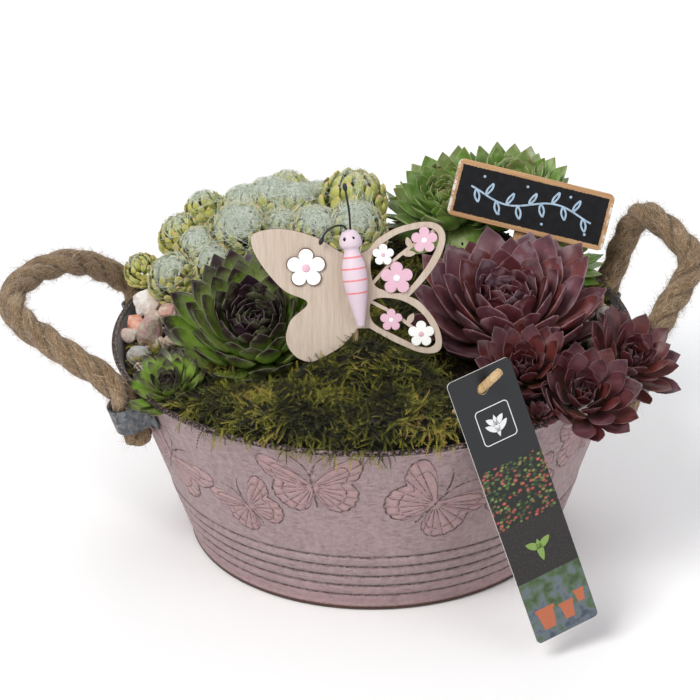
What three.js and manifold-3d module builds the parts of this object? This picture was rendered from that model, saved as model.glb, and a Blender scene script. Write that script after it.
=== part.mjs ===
// Succulent dish garden: a round zinc tub with rope handles, filled with soil, moss, gravel and
// houseleeks, with a wooden butterfly pick, a chalkboard sign and a hang tag.
// Millimetres, +Z up. The origin is the centre of the tub's flat underside, and the front is -Y.

import * as THREE from "three";
import { mergeVertices } from "three/addons/utils/BufferGeometryUtils.js";
import Module from "manifold-3d";

const wasm = await Module();
wasm.setup();

// Driving dimensions
const CLEARANCE = 0.3;
const WELD = 1e-4;
const SLIVER = 0.03;
const ROUND_SIDES = 32;

const TUB_HEIGHT = 115;
const TUB_BASE_RADIUS = 99.5;
const TUB_TOP_RADIUS = 138;
const SHEET = 1.2;
const RIM_BEAD_RADIUS = 1.6;
const RIM_RADIUS = 140;
const RIB_HEIGHTS = [10.5, 17.5, 24.5, 31.5, 38.5];
const RIB_GROOVE = 0.9;
const RIB_CROWN = 0.7;
const RELIEF_HEIGHT = 0.8;
const RELIEF_ROOT = 0.2;

const ROPE_RADIUS = 7.4;
const ROPE_SIDES = 8;
const ROPE_STEP = 11;
const ROPE_TAIL = 17;
const EAR_HEIGHT = 15;
const EAR_LEVEL = 101.5;
const EAR_STANDOFF = 1.1;
const EAR_BORE = 8.5;
const EAR_FLANGE = 17;
const RIVET_ROOT = 0.5;
const EAR_AZIMUTHS = { left_front: -154, left_rear: 155, right_front: -13, right_rear: 26 };

const SOIL_FLOOR = SHEET + CLEARANCE;
const SOIL_RINGS = [0.36, 0.7, 1];

const GOLDEN_ANGLE = THREE.MathUtils.degToRad(137.508);

// Small helpers
const slope = (TUB_TOP_RADIUS - TUB_BASE_RADIUS) / TUB_HEIGHT;
const lean = Math.atan(slope);
const radians = THREE.MathUtils.degToRad;
const vec = (x, y, z) => new THREE.Vector3(x, y, z);
const wallRadius = (z) => TUB_BASE_RADIUS + slope * z;

function randomFrom(seed) {
  let state = seed >>> 0;
  return () => {
    state = (state + 0x6d2b79f5) >>> 0;
    let t = state;
    t = Math.imul(t ^ (t >>> 15), t | 1);
    t ^= t + Math.imul(t ^ (t >>> 7), t | 61);
    return ((t ^ (t >>> 14)) >>> 0) / 4294967296;
  };
}

// Meshes and solids
function signedVolume(positions, index) {
  const a = new THREE.Vector3();
  const b = new THREE.Vector3();
  const c = new THREE.Vector3();
  let sum = 0;
  for (let i = 0; i < index.length; i += 3) {
    a.fromArray(positions, index[i] * 3);
    b.fromArray(positions, index[i + 1] * 3);
    c.fromArray(positions, index[i + 2] * 3);
    sum += a.dot(b.cross(c));
  }
  return sum / 6;
}

function toSolid(geometry) {
  const bare = geometry.clone();
  bare.deleteAttribute("normal");
  bare.deleteAttribute("uv");
  const merged = mergeVertices(bare, WELD);
  const positions = merged.attributes.position.array;
  const triangles = [];
  const source = merged.index.array;
  for (let i = 0; i < source.length; i += 3) {
    const [a, b, c] = [source[i], source[i + 1], source[i + 2]];
    if (a !== b && b !== c && a !== c) triangles.push(a, b, c);
  }
  if (signedVolume(positions, triangles) < 0) triangles.reverse();
  const mesh = new wasm.Mesh({
    numProp: 3,
    vertProperties: new Float32Array(positions),
    triVerts: new Uint32Array(triangles),
  });
  return new wasm.Manifold(mesh);
}

function toGeometry(solid) {
  const mesh = solid.simplify(SLIVER).getMesh();
  const geometry = new THREE.BufferGeometry();
  geometry.setAttribute("position", new THREE.BufferAttribute(mesh.vertProperties, 3));
  geometry.setIndex(new THREE.BufferAttribute(mesh.triVerts, 1));
  return geometry;
}

function largestPiece(solid) {
  const pieces = solid.decompose();
  pieces.sort((a, b) => b.volume() - a.volume());
  return pieces[0];
}

function joinAll(solids) {
  return solids.reduce((sum, solid) => sum.add(solid));
}

function cutAll(solid, cutters) {
  return cutters.reduce((rest, cutter) => rest.subtract(cutter), solid);
}

function meshOf(points, triangles) {
  const geometry = new THREE.BufferGeometry();
  const flat = points.flatMap((p) => [p.x, p.y, p.z]);
  geometry.setAttribute("position", new THREE.Float32BufferAttribute(flat, 3));
  geometry.setIndex(triangles);
  return geometry;
}

// A prism between two like rings of points, one above the other, each seen flat as (flatU, flatV)
function prismBetween(lower, upper) {
  const n = lower.length;
  const contour = upper.map((p) => new THREE.Vector2(p.flatU, p.flatV));
  const turn = Math.sign(THREE.ShapeUtils.area(contour));
  const triangles = [];
  for (const cap of THREE.ShapeUtils.triangulateShape(contour, [])) {
    const same = Math.sign(THREE.ShapeUtils.area(cap.map((i) => contour[i]))) === turn;
    const [a, b, c] = same ? cap : [cap[0], cap[2], cap[1]];
    triangles.push(n + a, n + b, n + c, c, b, a);
  }
  for (let i = 0; i < n; i += 1) {
    const j = (i + 1) % n;
    triangles.push(i, j, n + j, i, n + j, n + i);
  }
  return meshOf([...lower, ...upper], triangles);
}

// A tapered rod between two points
function rod(from, to, fromRadius, toRadius, sides = 6) {
  const axis = to.clone().sub(from);
  const geometry = new THREE.CylinderGeometry(toRadius, fromRadius, axis.length(), sides);
  const turn = new THREE.Quaternion().setFromUnitVectors(vec(0, 1, 0), axis.clone().normalize());
  geometry.applyQuaternion(turn);
  const middle = from.clone().add(to).multiplyScalar(0.5);
  geometry.translate(middle.x, middle.y, middle.z);
  return toSolid(geometry);
}

function tubeAlong(points, radius, sides, step) {
  const curve = new THREE.CatmullRomCurve3(points, false, "centripetal");
  const section = new THREE.Shape();
  for (let i = 0; i < sides; i += 1) {
    const angle = (i / sides) * Math.PI * 2;
    section[i ? "lineTo" : "moveTo"](radius * Math.cos(angle), radius * Math.sin(angle));
  }
  const steps = Math.ceil(curve.getLength() / step);
  return toSolid(new THREE.ExtrudeGeometry(section, { steps, extrudePath: curve, bevelEnabled: false }));
}

// A flat plate cut to an outline of [u, v] points, placed by a matrix; w runs from w0 to w1
function plate(outline, w0, w1, matrix) {
  const shape = new THREE.Shape(outline.map(([u, v]) => new THREE.Vector2(u, v)));
  const geometry = new THREE.ExtrudeGeometry(shape, { depth: w1 - w0, bevelEnabled: false });
  geometry.translate(0, 0, w0);
  geometry.applyMatrix4(matrix);
  return toSolid(geometry);
}

function frameAt(origin, uAxis, vAxis) {
  const wAxis = uAxis.clone().cross(vAxis);
  const matrix = new THREE.Matrix4().makeBasis(uAxis, vAxis, wAxis);
  return matrix.setPosition(origin);
}

// The tub: a coned sheet-metal wall with a floor, ribs above the base, a rolled rim and
// raised butterflies
const RELIEF_REPEATS = 5;
const RELIEF_KINDS = [
  { azimuth: -104, level: 88, turn: 4, size: 1 },
  { azimuth: -122, level: 65, turn: 32, size: 0.82 },
  { azimuth: -76, level: 75, turn: -38, size: 1.08 },
];
const BUTTERFLY_WING = [[-0.5, 6], [25, 18], [20, 2], [16, -16], [-0.5, -12]];

function tubWall() {
  const profile = [[0, 0], [TUB_BASE_RADIUS - 0.6, 0], [TUB_BASE_RADIUS + 1.6, 2], [wallRadius(5), 5]];
  RIB_HEIGHTS.forEach((level, i) => {
    profile.push([wallRadius(level) - RIB_GROOVE, level]);
    const crown = level + 3.5;
    const proud = i < RIB_HEIGHTS.length - 1 ? RIB_CROWN : 0;
    profile.push([wallRadius(crown) + proud, crown]);
  });
  const bead = { r: RIM_RADIUS - RIM_BEAD_RADIUS, z: TUB_HEIGHT - RIM_BEAD_RADIUS };
  profile.push([wallRadius(110.6), 110.6]);
  for (const angle of [-60, 10, 80, 150]) {
    const a = radians(angle);
    profile.push([bead.r + RIM_BEAD_RADIUS * Math.cos(a), bead.z + RIM_BEAD_RADIUS * Math.sin(a)]);
  }
  profile.push([wallRadius(110) - SHEET, 110]);
  profile.push([wallRadius(SHEET) - SHEET - RIB_GROOVE, SHEET]);
  profile.push([0, SHEET]);
  const points = profile.map(([r, z]) => new THREE.Vector2(r, z));
  const geometry = new THREE.LatheGeometry(points, ROUND_SIDES);
  geometry.rotateX(Math.PI / 2);
  return toSolid(geometry);
}

function onWall(azimuth, level, proud) {
  const angle = radians(azimuth);
  const r = wallRadius(level) + proud;
  return vec(r * Math.cos(angle), r * Math.sin(angle), level);
}

function butterflyRelief(azimuth, level, turn, size) {
  const c = Math.cos(radians(turn));
  const s = Math.sin(radians(turn));
  const wing = (hand) => {
    const ring = (proud) => BUTTERFLY_WING.map(([u, v]) => {
      const across = (hand * u * c - v * s) * size;
      const up = (hand * u * s + v * c) * size * Math.cos(lean);
      const degrees = azimuth + THREE.MathUtils.radToDeg(across / wallRadius(level));
      const point = onWall(degrees, level + up, proud);
      point.flatU = across;
      point.flatV = up;
      return point;
    });
    return toSolid(prismBetween(ring(-RELIEF_ROOT), ring(RELIEF_HEIGHT)));
  };
  return wing(1).add(wing(-1));
}

function tub() {
  const reliefs = [];
  for (let i = 0; i < RELIEF_REPEATS; i += 1) {
    for (const kind of RELIEF_KINDS) {
      const azimuth = kind.azimuth + (360 / RELIEF_REPEATS) * i;
      reliefs.push(butterflyRelief(azimuth, kind.level, kind.turn, kind.size));
    }
  }
  return joinAll([tubWall(), ...reliefs]);
}

// A ring of the tub's upper wall and rim, swollen by some room, to keep plants clear of it
function rimGuard() {
  const room = 2 * CLEARANCE;
  const [low, high] = [60, 109];
  const top = TUB_HEIGHT + room;
  const profile = [
    [wallRadius(low) - SHEET - room, low], [wallRadius(low) + room + 1, low],
    [wallRadius(high) + room + 1, high], [RIM_RADIUS + room, high + 2], [RIM_RADIUS + room, top],
    [RIM_RADIUS - 2 * RIM_BEAD_RADIUS - room - 0.4, top], [wallRadius(high) - SHEET - room, high],
    [wallRadius(low) - SHEET - room, low],
  ];
  const points = profile.map(([r, z]) => new THREE.Vector2(r, z));
  const geometry = new THREE.LatheGeometry(points, ROUND_SIDES);
  geometry.rotateX(Math.PI / 2);
  return toSolid(geometry);
}

// Rope ears: sheet-metal sleeves riveted to the wall, each holding one end of a rope handle
function wallFrame(azimuth, level) {
  const angle = radians(azimuth);
  const radial = vec(Math.cos(angle), Math.sin(angle), 0);
  const up = radial.clone().multiplyScalar(Math.sin(lean)).add(vec(0, 0, Math.cos(lean)));
  const out = radial.clone().multiplyScalar(Math.cos(lean)).add(vec(0, 0, -Math.sin(lean)));
  const origin = onWall(azimuth, level, 0);
  return { origin, up, out };
}

const ROPE_OFFSET = EAR_STANDOFF + ROPE_RADIUS + 0.4;

function ear(azimuth) {
  const { origin, up, out } = wallFrame(azimuth, EAR_LEVEL);
  const across = up.clone().cross(out);
  const inner = EAR_STANDOFF;
  const outer = EAR_STANDOFF + SHEET;
  const shell = EAR_BORE + SHEET;
  const arc = (radius, from, to) => Array.from({ length: 5 }, (_, i) => {
    const a = radians(from + ((to - from) * i) / 4);
    return [radius * Math.cos(a), ROPE_OFFSET + radius * Math.sin(a)];
  });
  const outline = [
    [-EAR_FLANGE, outer], [-shell, outer], ...arc(shell, 180, 0), [shell, outer], [EAR_FLANGE, outer],
    [EAR_FLANGE, inner], [EAR_BORE, inner], ...arc(EAR_BORE, 0, 180), [-EAR_BORE, inner],
    [-EAR_FLANGE, inner],
  ];
  const fitted = outline.map(([t, n]) => [t, n - (t * t) / (2 * wallRadius(EAR_LEVEL))]);
  const matrix = frameAt(origin, across, out);
  const strap = plate(fitted, -EAR_HEIGHT / 2, EAR_HEIGHT / 2, matrix);
  const rivetSpread = (EAR_FLANGE + shell) / 2;
  const rivets = [-rivetSpread, rivetSpread].map((t) => {
    const at = (n) => origin.clone().addScaledVector(across, t).addScaledVector(out, n);
    return rod(at(RIVET_ROOT), at(outer + 0.2), 1.9, 1.5, 5);
  });
  return joinAll([strap, ...rivets]);
}

// Rope handles, from the tail below one ear, up through it, round the loop and down the other
const LEFT_LOOP = [
  [-133.1, -65.2, 114.5], [-141, -63.5, 121.5], [-154.4, -59, 129], [-167.8, -50, 134.5], [-180, -39, 138],
  [-188, -26, 140.5], [-190.9, -11, 142], [-186.4, 5, 144], [-176, 20, 144.4], [-163.9, 34, 141.3],
  [-151.8, 47, 132.7], [-142.5, 57, 122.5], [-134.5, 62.7, 114.5],
];
const RIGHT_LOOP = [
  [144.6, -33.4, 114.5], [149.4, -24.5, 123], [157.6, -11, 130.9], [165.2, -1, 137.8], [170.4, 8, 144.1],
  [170.2, 17, 149.8], [164.2, 27, 154.2], [156.4, 36, 158.6], [149.6, 45, 159.4], [145.4, 53, 153.4],
  [141, 59.5, 141.6], [136.6, 63.6, 126.5], [133.3, 65, 114.5],
];

function ropeTail(azimuth) {
  const { origin, up, out } = wallFrame(azimuth, EAR_LEVEL);
  const at = (along) => origin.clone().addScaledVector(out, ROPE_OFFSET).addScaledVector(up, along);
  return [at(-ROPE_TAIL), at(0), at(EAR_HEIGHT / 2)];
}

function ropeRoute(firstAzimuth, loop, lastAzimuth) {
  const middle = loop.map(([x, y, z]) => vec(x, y, z));
  return [...ropeTail(firstAzimuth), ...middle, ...ropeTail(lastAzimuth).reverse()];
}

// Soil: a mound in the tub, higher under each group of plants
const SOIL_EDGE = 107;
const MOUNDS = [
  { x: -60, y: 74, height: 22, spread: 38 },
  { x: -12, y: 66, height: 15, spread: 23 },
  { x: 62, y: 78, height: 28, spread: 33 },
  { x: 74, y: -16, height: 2, spread: 34 },
  { x: 0, y: -80, height: 5, spread: 34 },
];

function soilHeight(x, y) {
  const rim = Math.min(1, Math.hypot(x, y) / 134);
  const fade = 1 - rim ** 14;
  let rise = 5 * (1 - rim * rim);
  for (const m of MOUNDS) {
    const d2 = (x - m.x) ** 2 + (y - m.y) ** 2;
    rise += m.height * fade * Math.exp(-d2 / (2 * m.spread * m.spread));
  }
  return SOIL_EDGE + rise;
}

function soilBody() {
  const edgeInset = SHEET + CLEARANCE + 0.05;
  const topRadius = wallRadius(SOIL_EDGE) - edgeInset;
  const floorRadius = wallRadius(SOIL_FLOOR) - edgeInset - RIB_GROOVE;
  const points = [vec(0, 0, SOIL_FLOOR), vec(0, 0, soilHeight(0, 0))];
  const ringStart = (ring) => 2 + ring * ROUND_SIDES;
  const addRing = (radius, level) => {
    for (let i = 0; i < ROUND_SIDES; i += 1) {
      const a = (i / ROUND_SIDES) * Math.PI * 2;
      const [x, y] = [radius * Math.cos(a), radius * Math.sin(a)];
      points.push(vec(x, y, level ?? soilHeight(x, y)));
    }
  };
  SOIL_RINGS.forEach((part) => addRing(topRadius * part));
  addRing(floorRadius, SOIL_FLOOR);
  const triangles = [];
  for (let i = 0; i < ROUND_SIDES; i += 1) {
    const j = (i + 1) % ROUND_SIDES;
    triangles.push(1, ringStart(0) + i, ringStart(0) + j);
    for (let ring = 0; ring < SOIL_RINGS.length; ring += 1) {
      const [a, b] = [ringStart(ring) + i, ringStart(ring) + j];
      const [c, d] = [ringStart(ring + 1) + i, ringStart(ring + 1) + j];
      triangles.push(a, c, d, a, d, b);
    }
    triangles.push(0, ringStart(SOIL_RINGS.length) + j, ringStart(SOIL_RINGS.length) + i);
  }
  return toSolid(meshOf(points, triangles));
}

// Houseleek rosettes. Lengths in a form are shares of the rosette's radius
const SMALL_ROSETTE = 12;
const PRESS_STEP = 0.06;
const FORMS = {
  burgundy: { core: 0.3, open: 16, close: 74, curl: 20, width: 0.5, thick: 0.07, inner: 0.24 },
  tipped: { core: 0.32, open: 12, close: 72, curl: 22, width: 0.36, thick: 0.07, inner: 0.26 },
  green: { core: 0.32, open: 8, close: 74, curl: 24, width: 0.46, thick: 0.08, inner: 0.26 },
  cobweb: { core: 0.8, width: 0.56, inner: 0.3, scales: true },
};

// heart: the top of the bud. tip: how far the axis leans. foot: where the stem enters the soil
const COBWEB_BALLS = [
  { heart: [-129.5, 49.5, 134.8], tip: [-0.4, -0.35], radius: 9, leaves: 10, foot: [-118, 48] },
  { heart: [-111, 28.7, 140.7], tip: [-0.35, -0.5], radius: 13.5, leaves: 11 },
  { heart: [-95.5, 45.4, 149.7], tip: [-0.2, -0.45], radius: 12.5, leaves: 11 },
  { heart: [-108.6, 68.9, 149.6], tip: [-0.4, -0.1], radius: 12.5, leaves: 11 },
  { heart: [-94.4, 90.5, 155.1], tip: [-0.25, 0.05], radius: 12, leaves: 10 },
  { heart: [-71.9, 45, 161.1], tip: [0, -0.5], radius: 17, leaves: 12 },
  { heart: [-70.7, 78.7, 161.8], tip: [-0.1, -0.1], radius: 14, leaves: 11 },
  { heart: [-55.5, 79.8, 164.9], tip: [0, -0.15], radius: 16, leaves: 11 },
  { heart: [-40.2, 76.6, 163.1], tip: [0.1, -0.1], radius: 15, leaves: 11 },
  { heart: [-46.5, 105.3, 160.7], tip: [0, 0.2], radius: 13, leaves: 10 },
  { heart: [-49.6, 53.9, 156.1], tip: [0, -0.4], radius: 12, leaves: 10 },
  { heart: [-30.1, 42.4, 161.4], tip: [0, -0.45], radius: 15, leaves: 11 },
  { heart: [-8.1, 72.4, 172.5], tip: [0.1, -0.1], radius: 18, leaves: 13 },
  { heart: [-28.4, 92.6, 158.7], tip: [0, 0.05], radius: 13, leaves: 10 },
  { heart: [-8, 40, 164.5], tip: [0.1, -0.45], radius: 16, leaves: 11 },
  { heart: [-87.5, 30.7, 146.1], tip: [-0.1, -0.5], radius: 13, leaves: 10 },
];
const ROSETTES = [
  {
    name: "burgundy_rosette", form: "burgundy", heart: [72, -17, 141], tip: [0, -0.28],
    radius: 52, leaves: 38,
  },
  {
    name: "burgundy_offset_1", form: "burgundy", heart: [77, -78, 132], tip: [0, -0.45],
    radius: 25, leaves: 18,
  },
  {
    name: "burgundy_offset_2", form: "burgundy", heart: [107, -97, 125], tip: [0.15, -0.75], radius: 27,
    leaves: 19, foot: [93, -79],
  },
  {
    name: "burgundy_offset_3", form: "burgundy", heart: [134.5, -56, 125], tip: [0.55, -0.5], radius: 25,
    leaves: 18, foot: [116, -46],
  },
  {
    name: "burgundy_offset_4", form: "burgundy", heart: [84, -106, 118], tip: [0.1, -0.3], radius: 9,
    leaves: 11, foot: [80, -98],
  },
  {
    name: "burgundy_offset_5", form: "burgundy", heart: [130, -7, 121], tip: [0.1, -0.2], radius: 10,
    leaves: 12, foot: [124, -6],
  },
  {
    name: "dark_tipped_rosette", form: "tipped", heart: [-62, -33, 138], tip: [-0.1, -0.42],
    radius: 46, leaves: 40,
  },
  {
    name: "dark_tipped_offset", form: "tipped", heart: [-106, -69, 120], tip: [-0.15, -0.35], radius: 17,
    leaves: 15, foot: [-103, -66],
  },
  {
    name: "green_rosette_1", form: "green", heart: [41, 76, 162], tip: [-0.3, -0.35],
    radius: 36, leaves: 27,
  },
  {
    name: "green_rosette_2", form: "green", heart: [80, 86, 165], tip: [0.15, -0.1],
    radius: 37, leaves: 28,
  },
  {
    name: "green_rosette_3", form: "green", heart: [105, 54, 139], tip: [0.35, -0.1],
    radius: 25, leaves: 18,
  },
  { name: "green_rosette_4", form: "green", heart: [36, 114, 145], tip: [0, 0.35], radius: 27, leaves: 16 },
  ...COBWEB_BALLS.map((ball, i) => ({ name: `cobweb_rosette_${i + 1}`, form: "cobweb", ...ball })),
];

function rosetteFrame({ heart, tip, radius, form }) {
  const axis = vec(tip[0], tip[1], 1).normalize();
  const side = vec(1, 0, 0).cross(axis).normalize().negate();
  const front = axis.clone().cross(side);
  const { core, inner } = FORMS[form];
  const top = vec(...heart);
  const coreRadius = core * radius;
  const centre = top.clone().addScaledVector(axis, -(coreRadius * 0.92 + inner * radius * 0.6));
  return { axis, side, front, top, centre, coreRadius };
}

// Planes that part neighbouring rosettes; a rosette stays on the negative side of each
function cellPlanes(rosette) {
  const planes = [...(rosette.planes ?? [])];
  const here = vec(...rosette.heart);
  for (const other of ROSETTES) {
    if (other === rosette) continue;
    const there = vec(...other.heart);
    const between = there.clone().sub(here);
    const distance = between.length();
    const reach = rosette.radius + other.radius;
    if (distance > reach * 1.25) continue;
    const normal = between.normalize();
    const offset = (distance * rosette.radius) / reach - CLEARANCE / 2;
    planes.push({ normal, limit: normal.dot(here) + offset });
  }
  return planes;
}

function leafPoints(root, out, up, side, length, elevation, form, radius, rise) {
  const { curl, width, thick } = form;
  const sections = radius > SMALL_ROSETTE ? [[0.4, 0.74], [0.72, 1]] : [[0.58, 1]];
  const bend = (s) => radians(elevation + curl * (s - 0.5) + rise * s);
  const at = (s) => root.clone()
    .addScaledVector(out, length * s * Math.cos(bend(s)))
    .addScaledVector(up, length * s * Math.sin(bend(s)));
  const half = (width * length) / 2;
  const keel = thick * radius;
  const points = [root.clone()];
  for (const [s, share] of sections) {
    const spot = at(s);
    const along = at(s + 0.05).sub(at(s - 0.05)).normalize();
    const above = side.clone().cross(along).normalize();
    if (above.dot(up) < 0) above.negate();
    points.push(spot.clone().addScaledVector(side, half * share).addScaledVector(above, keel * 0.35));
    points.push(spot.clone().addScaledVector(side, -half * share).addScaledVector(above, keel * 0.35));
    points.push(spot.clone().addScaledVector(above, -keel * 0.65));
  }
  points.push(at(1));
  return points;
}

function leafTriangles(sectionCount, rooted) {
  const first = rooted ? 1 : 0;
  const triangles = rooted ? [0, 2, 1, 0, 3, 2, 0, 1, 3] : [0, 2, 1];
  for (let k = 0; k + 1 < sectionCount; k += 1) {
    const a = first + 3 * k;
    for (const [i, j] of [[0, 1], [1, 2], [2, 0]]) {
      triangles.push(a + i, a + j, a + 3 + j, a + i, a + 3 + j, a + 3 + i);
    }
  }
  const a = first + 3 * (sectionCount - 1);
  const tip = a + 3;
  triangles.push(a, a + 1, tip, a + 1, a + 2, tip, a + 2, a, tip);
  return triangles;
}

function overshoot(points, planes) {
  let worst = 0;
  for (const p of points) {
    for (const plane of planes) worst = Math.max(worst, plane.normal.dot(p) - plane.limit);
  }
  return worst;
}

// A leaf is bent up and shortened until it clears its neighbours, then pressed against them. Its own
// small offset keeps two leaves from being pressed to one face
function fittedLeaf(make, planes, triangles, offset) {
  let points = make(0, 1);
  for (let step = 1; step <= 6 && overshoot(points, planes) > 0; step += 1) {
    points = make(9 * step, 1 - 0.05 * step);
  }
  for (const p of points) {
    for (const plane of planes) {
      const over = plane.normal.dot(p) - plane.limit + offset;
      if (over > 0) p.addScaledVector(plane.normal, -over);
    }
  }
  return toSolid(meshOf(points, triangles));
}

const CORE_SIDES = 7;
const CORE_BANDS = 4;

function crownCore({ axis, centre, coreRadius }, planes) {
  const ball = new THREE.SphereGeometry(coreRadius, CORE_SIDES, CORE_BANDS);
  ball.rotateX(Math.PI / 2);
  ball.applyQuaternion(new THREE.Quaternion().setFromUnitVectors(vec(0, 0, 1), axis));
  ball.translate(centre.x, centre.y, centre.z);
  const trim = (solid, { normal, limit }) => solid.trimByPlane(normal.clone().negate().toArray(), -limit);
  return planes.reduce(trim, toSolid(ball));
}

// An open rosette: outer leaves nearly level, inner ones shorter and upright
function openCrown(rosette, seed) {
  const random = randomFrom(seed);
  const form = FORMS[rosette.form];
  const place = rosetteFrame(rosette);
  const { axis, side, front, centre, coreRadius } = place;
  const planes = cellPlanes(rosette);
  const triangles = leafTriangles(rosette.radius > SMALL_ROSETTE ? 2 : 1, true);
  const solids = [crownCore(place, planes)];
  const outerLength = (rosette.radius * (1 - form.core * 0.8)) / Math.cos(radians(form.open + form.curl));
  for (let i = 0; i < rosette.leaves; i += 1) {
    const t = i / (rosette.leaves - 1);
    const turn = i * GOLDEN_ANGLE + (random() - 0.5) * 0.16;
    const out = front.clone().multiplyScalar(Math.cos(turn)).addScaledVector(side, Math.sin(turn));
    const across = out.clone().cross(axis);
    const polar = radians(98 - 84 * t);
    const root = centre.clone()
      .addScaledVector(out, 0.8 * coreRadius * Math.sin(polar))
      .addScaledVector(axis, 0.8 * coreRadius * Math.cos(polar));
    const length = outerLength * (1 - (1 - form.inner) * t ** 1.15) * (0.94 + 0.12 * random());
    const elevation = form.open + (form.close - form.open) * t ** 1.15 + form.curl / 2;
    const make = (rise, share) => leafPoints(
      root, out, axis, across, length * share, elevation, form, rosette.radius, rise,
    );
    solids.push(fittedLeaf(make, planes, triangles, PRESS_STEP * i));
  }
  return joinAll(solids);
}

// A tight ball of incurved scale leaves
function closedCrown(rosette, seed) {
  const random = randomFrom(seed);
  const form = FORMS[rosette.form];
  const place = rosetteFrame(rosette);
  const { axis, side, front, centre, coreRadius } = place;
  const planes = cellPlanes(rosette);
  const triangles = leafTriangles(1, false);
  const half = (form.width * rosette.radius) / 2;
  const solids = [crownCore(place, planes)];
  for (let i = 0; i < rosette.leaves; i += 1) {
    const t = i / (rosette.leaves - 1);
    const turn = i * GOLDEN_ANGLE + (random() - 0.5) * 0.1;
    const out = front.clone().multiplyScalar(Math.cos(turn)).addScaledVector(side, Math.sin(turn));
    const across = out.clone().cross(axis);
    const heading = (degrees) => axis.clone().multiplyScalar(Math.cos(radians(degrees)))
      .addScaledVector(out, Math.sin(radians(degrees)));
    const polar = 96 - 82 * t ** 0.8;
    const make = (rise, share) => {
      const base = centre.clone().addScaledVector(heading(polar + 4), coreRadius * 0.8);
      const under = centre.clone().addScaledVector(heading(polar + 22), coreRadius * 0.8);
      const point = heading(polar - 12 - rise).multiplyScalar(rosette.radius * share * (1 - 0.14 * t));
      const spread = half * (1 - 0.45 * t);
      return [
        base.clone().addScaledVector(across, spread), base.clone().addScaledVector(across, -spread),
        under, centre.clone().add(point),
      ];
    };
    solids.push(fittedLeaf(make, planes, triangles, PRESS_STEP * i));
  }
  return joinAll(solids);
}

function crown(rosette, seed) {
  return FORMS[rosette.form].scales ? closedCrown(rosette, seed) : openCrown(rosette, seed);
}

// Stems stand in plain holes in the soil. A rosette that hangs over the rim has a neck across to it
const STEM_DEPTH = 12;
const STEM_SIDES = 4;
const NECK_LEVEL = 118.8;

function stemParts(rosette) {
  const { centre, coreRadius } = rosetteFrame(rosette);
  const [x, y] = rosette.foot ?? [centre.x, centre.y];
  const overhangs = Math.hypot(centre.x, centre.y) > wallRadius(110) - 1;
  const level = overhangs ? NECK_LEVEL : centre.z;
  const radius = Math.max(1.8, Math.min(5, coreRadius * 0.4));
  return { foot: vec(x, y, soilHeight(x, y) - STEM_DEPTH), head: vec(x, y, level), centre, radius };
}

function stem(rosette, grow) {
  const { foot, head, radius } = stemParts(rosette);
  const below = foot.clone().add(vec(0, 0, -grow));
  return rod(below, head, radius + grow * Math.SQRT2, radius + grow * Math.SQRT2, STEM_SIDES);
}

function neck(rosette) {
  const { head, centre, radius } = stemParts(rosette);
  return rod(head, centre, radius, radius);
}

// The room that a rosette and its leaves take, for the moss to keep out of
function rosetteRoom(rosette) {
  const { axis, centre, coreRadius } = rosetteFrame(rosette);
  const reach = rosette.radius + 1.5;
  const profile = [
    [0, -coreRadius - 1], [coreRadius + 1, -coreRadius * 0.6 - 1], [reach, reach * 0.1],
    [reach, reach * 1.1], [0, reach * 1.1],
  ];
  const geometry = new THREE.LatheGeometry(profile.map(([r, z]) => new THREE.Vector2(r, z)), 6);
  geometry.rotateX(Math.PI / 2);
  geometry.applyQuaternion(new THREE.Quaternion().setFromUnitVectors(vec(0, 0, 1), axis));
  geometry.translate(centre.x, centre.y, centre.z);
  return toSolid(geometry);
}

// Gravel: angular chips lying by the rim
const STONE_ROOM = 14;
const STONES = [
  { at: [-121, 33, 116], size: [12, 9, 8], turn: 20, colour: 0xe2d6d0 },
  { at: [-110, 20, 115.5], size: [7.5, 6.5, 7], turn: 70, colour: 0xb58f80 },
  { at: [-119, -6, 117], size: [9, 7, 10.5], turn: 10, colour: 0xb9a09c },
  { at: [-127, 10, 113], size: [6.5, 8, 7.5], turn: 40, colour: 0xd59c86 },
  { at: [-124, -24, 112.5], size: [8, 6, 5.5], turn: -20, colour: 0xa9aaa9 },
  { at: [-118, -38, 111.5], size: [7, 5.5, 5], turn: 55, colour: 0xd9d5c9 },
  { at: [121, 32, 114.5], size: [8, 7.5, 7], turn: 35, colour: 0xd8c1b6 },
  { at: [127, 14, 112.5], size: [6.5, 7, 6], turn: -15, colour: 0xdfd9d2 },
];

function stone({ at, size, turn }, seed) {
  const random = randomFrom(seed);
  const geometry = new THREE.IcosahedronGeometry(1, 0);
  const merged = mergeVertices(geometry.deleteAttribute("normal").deleteAttribute("uv"), WELD);
  const position = merged.attributes.position;
  for (let i = 0; i < position.count; i += 1) {
    const k = 0.86 + 0.22 * random();
    position.setXYZ(i, position.getX(i) * k, position.getY(i) * k, position.getZ(i) * k);
  }
  merged.scale(...size);
  merged.rotateZ(radians(turn));
  merged.translate(...at);
  return toSolid(merged);
}

// Moss: a soft uneven cushion with raised sprigs, in the gap in front of the plants
const MOSS_LUMPS = [
  [-30, -98, 115, 40, 32, 13], [18, -104, 115, 40, 32, 13], [-64, -88, 113, 28, 22, 10],
  [-4, -70, 118, 34, 24, 13], [0, -28, 116, 34, 32, 10], [10, 14, 116, 34, 30, 10], [-44, 4, 114, 40, 24, 9],
  [22, 46, 120, 26, 22, 10],
];
const MOSS_SPRIGS = 12;

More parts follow.
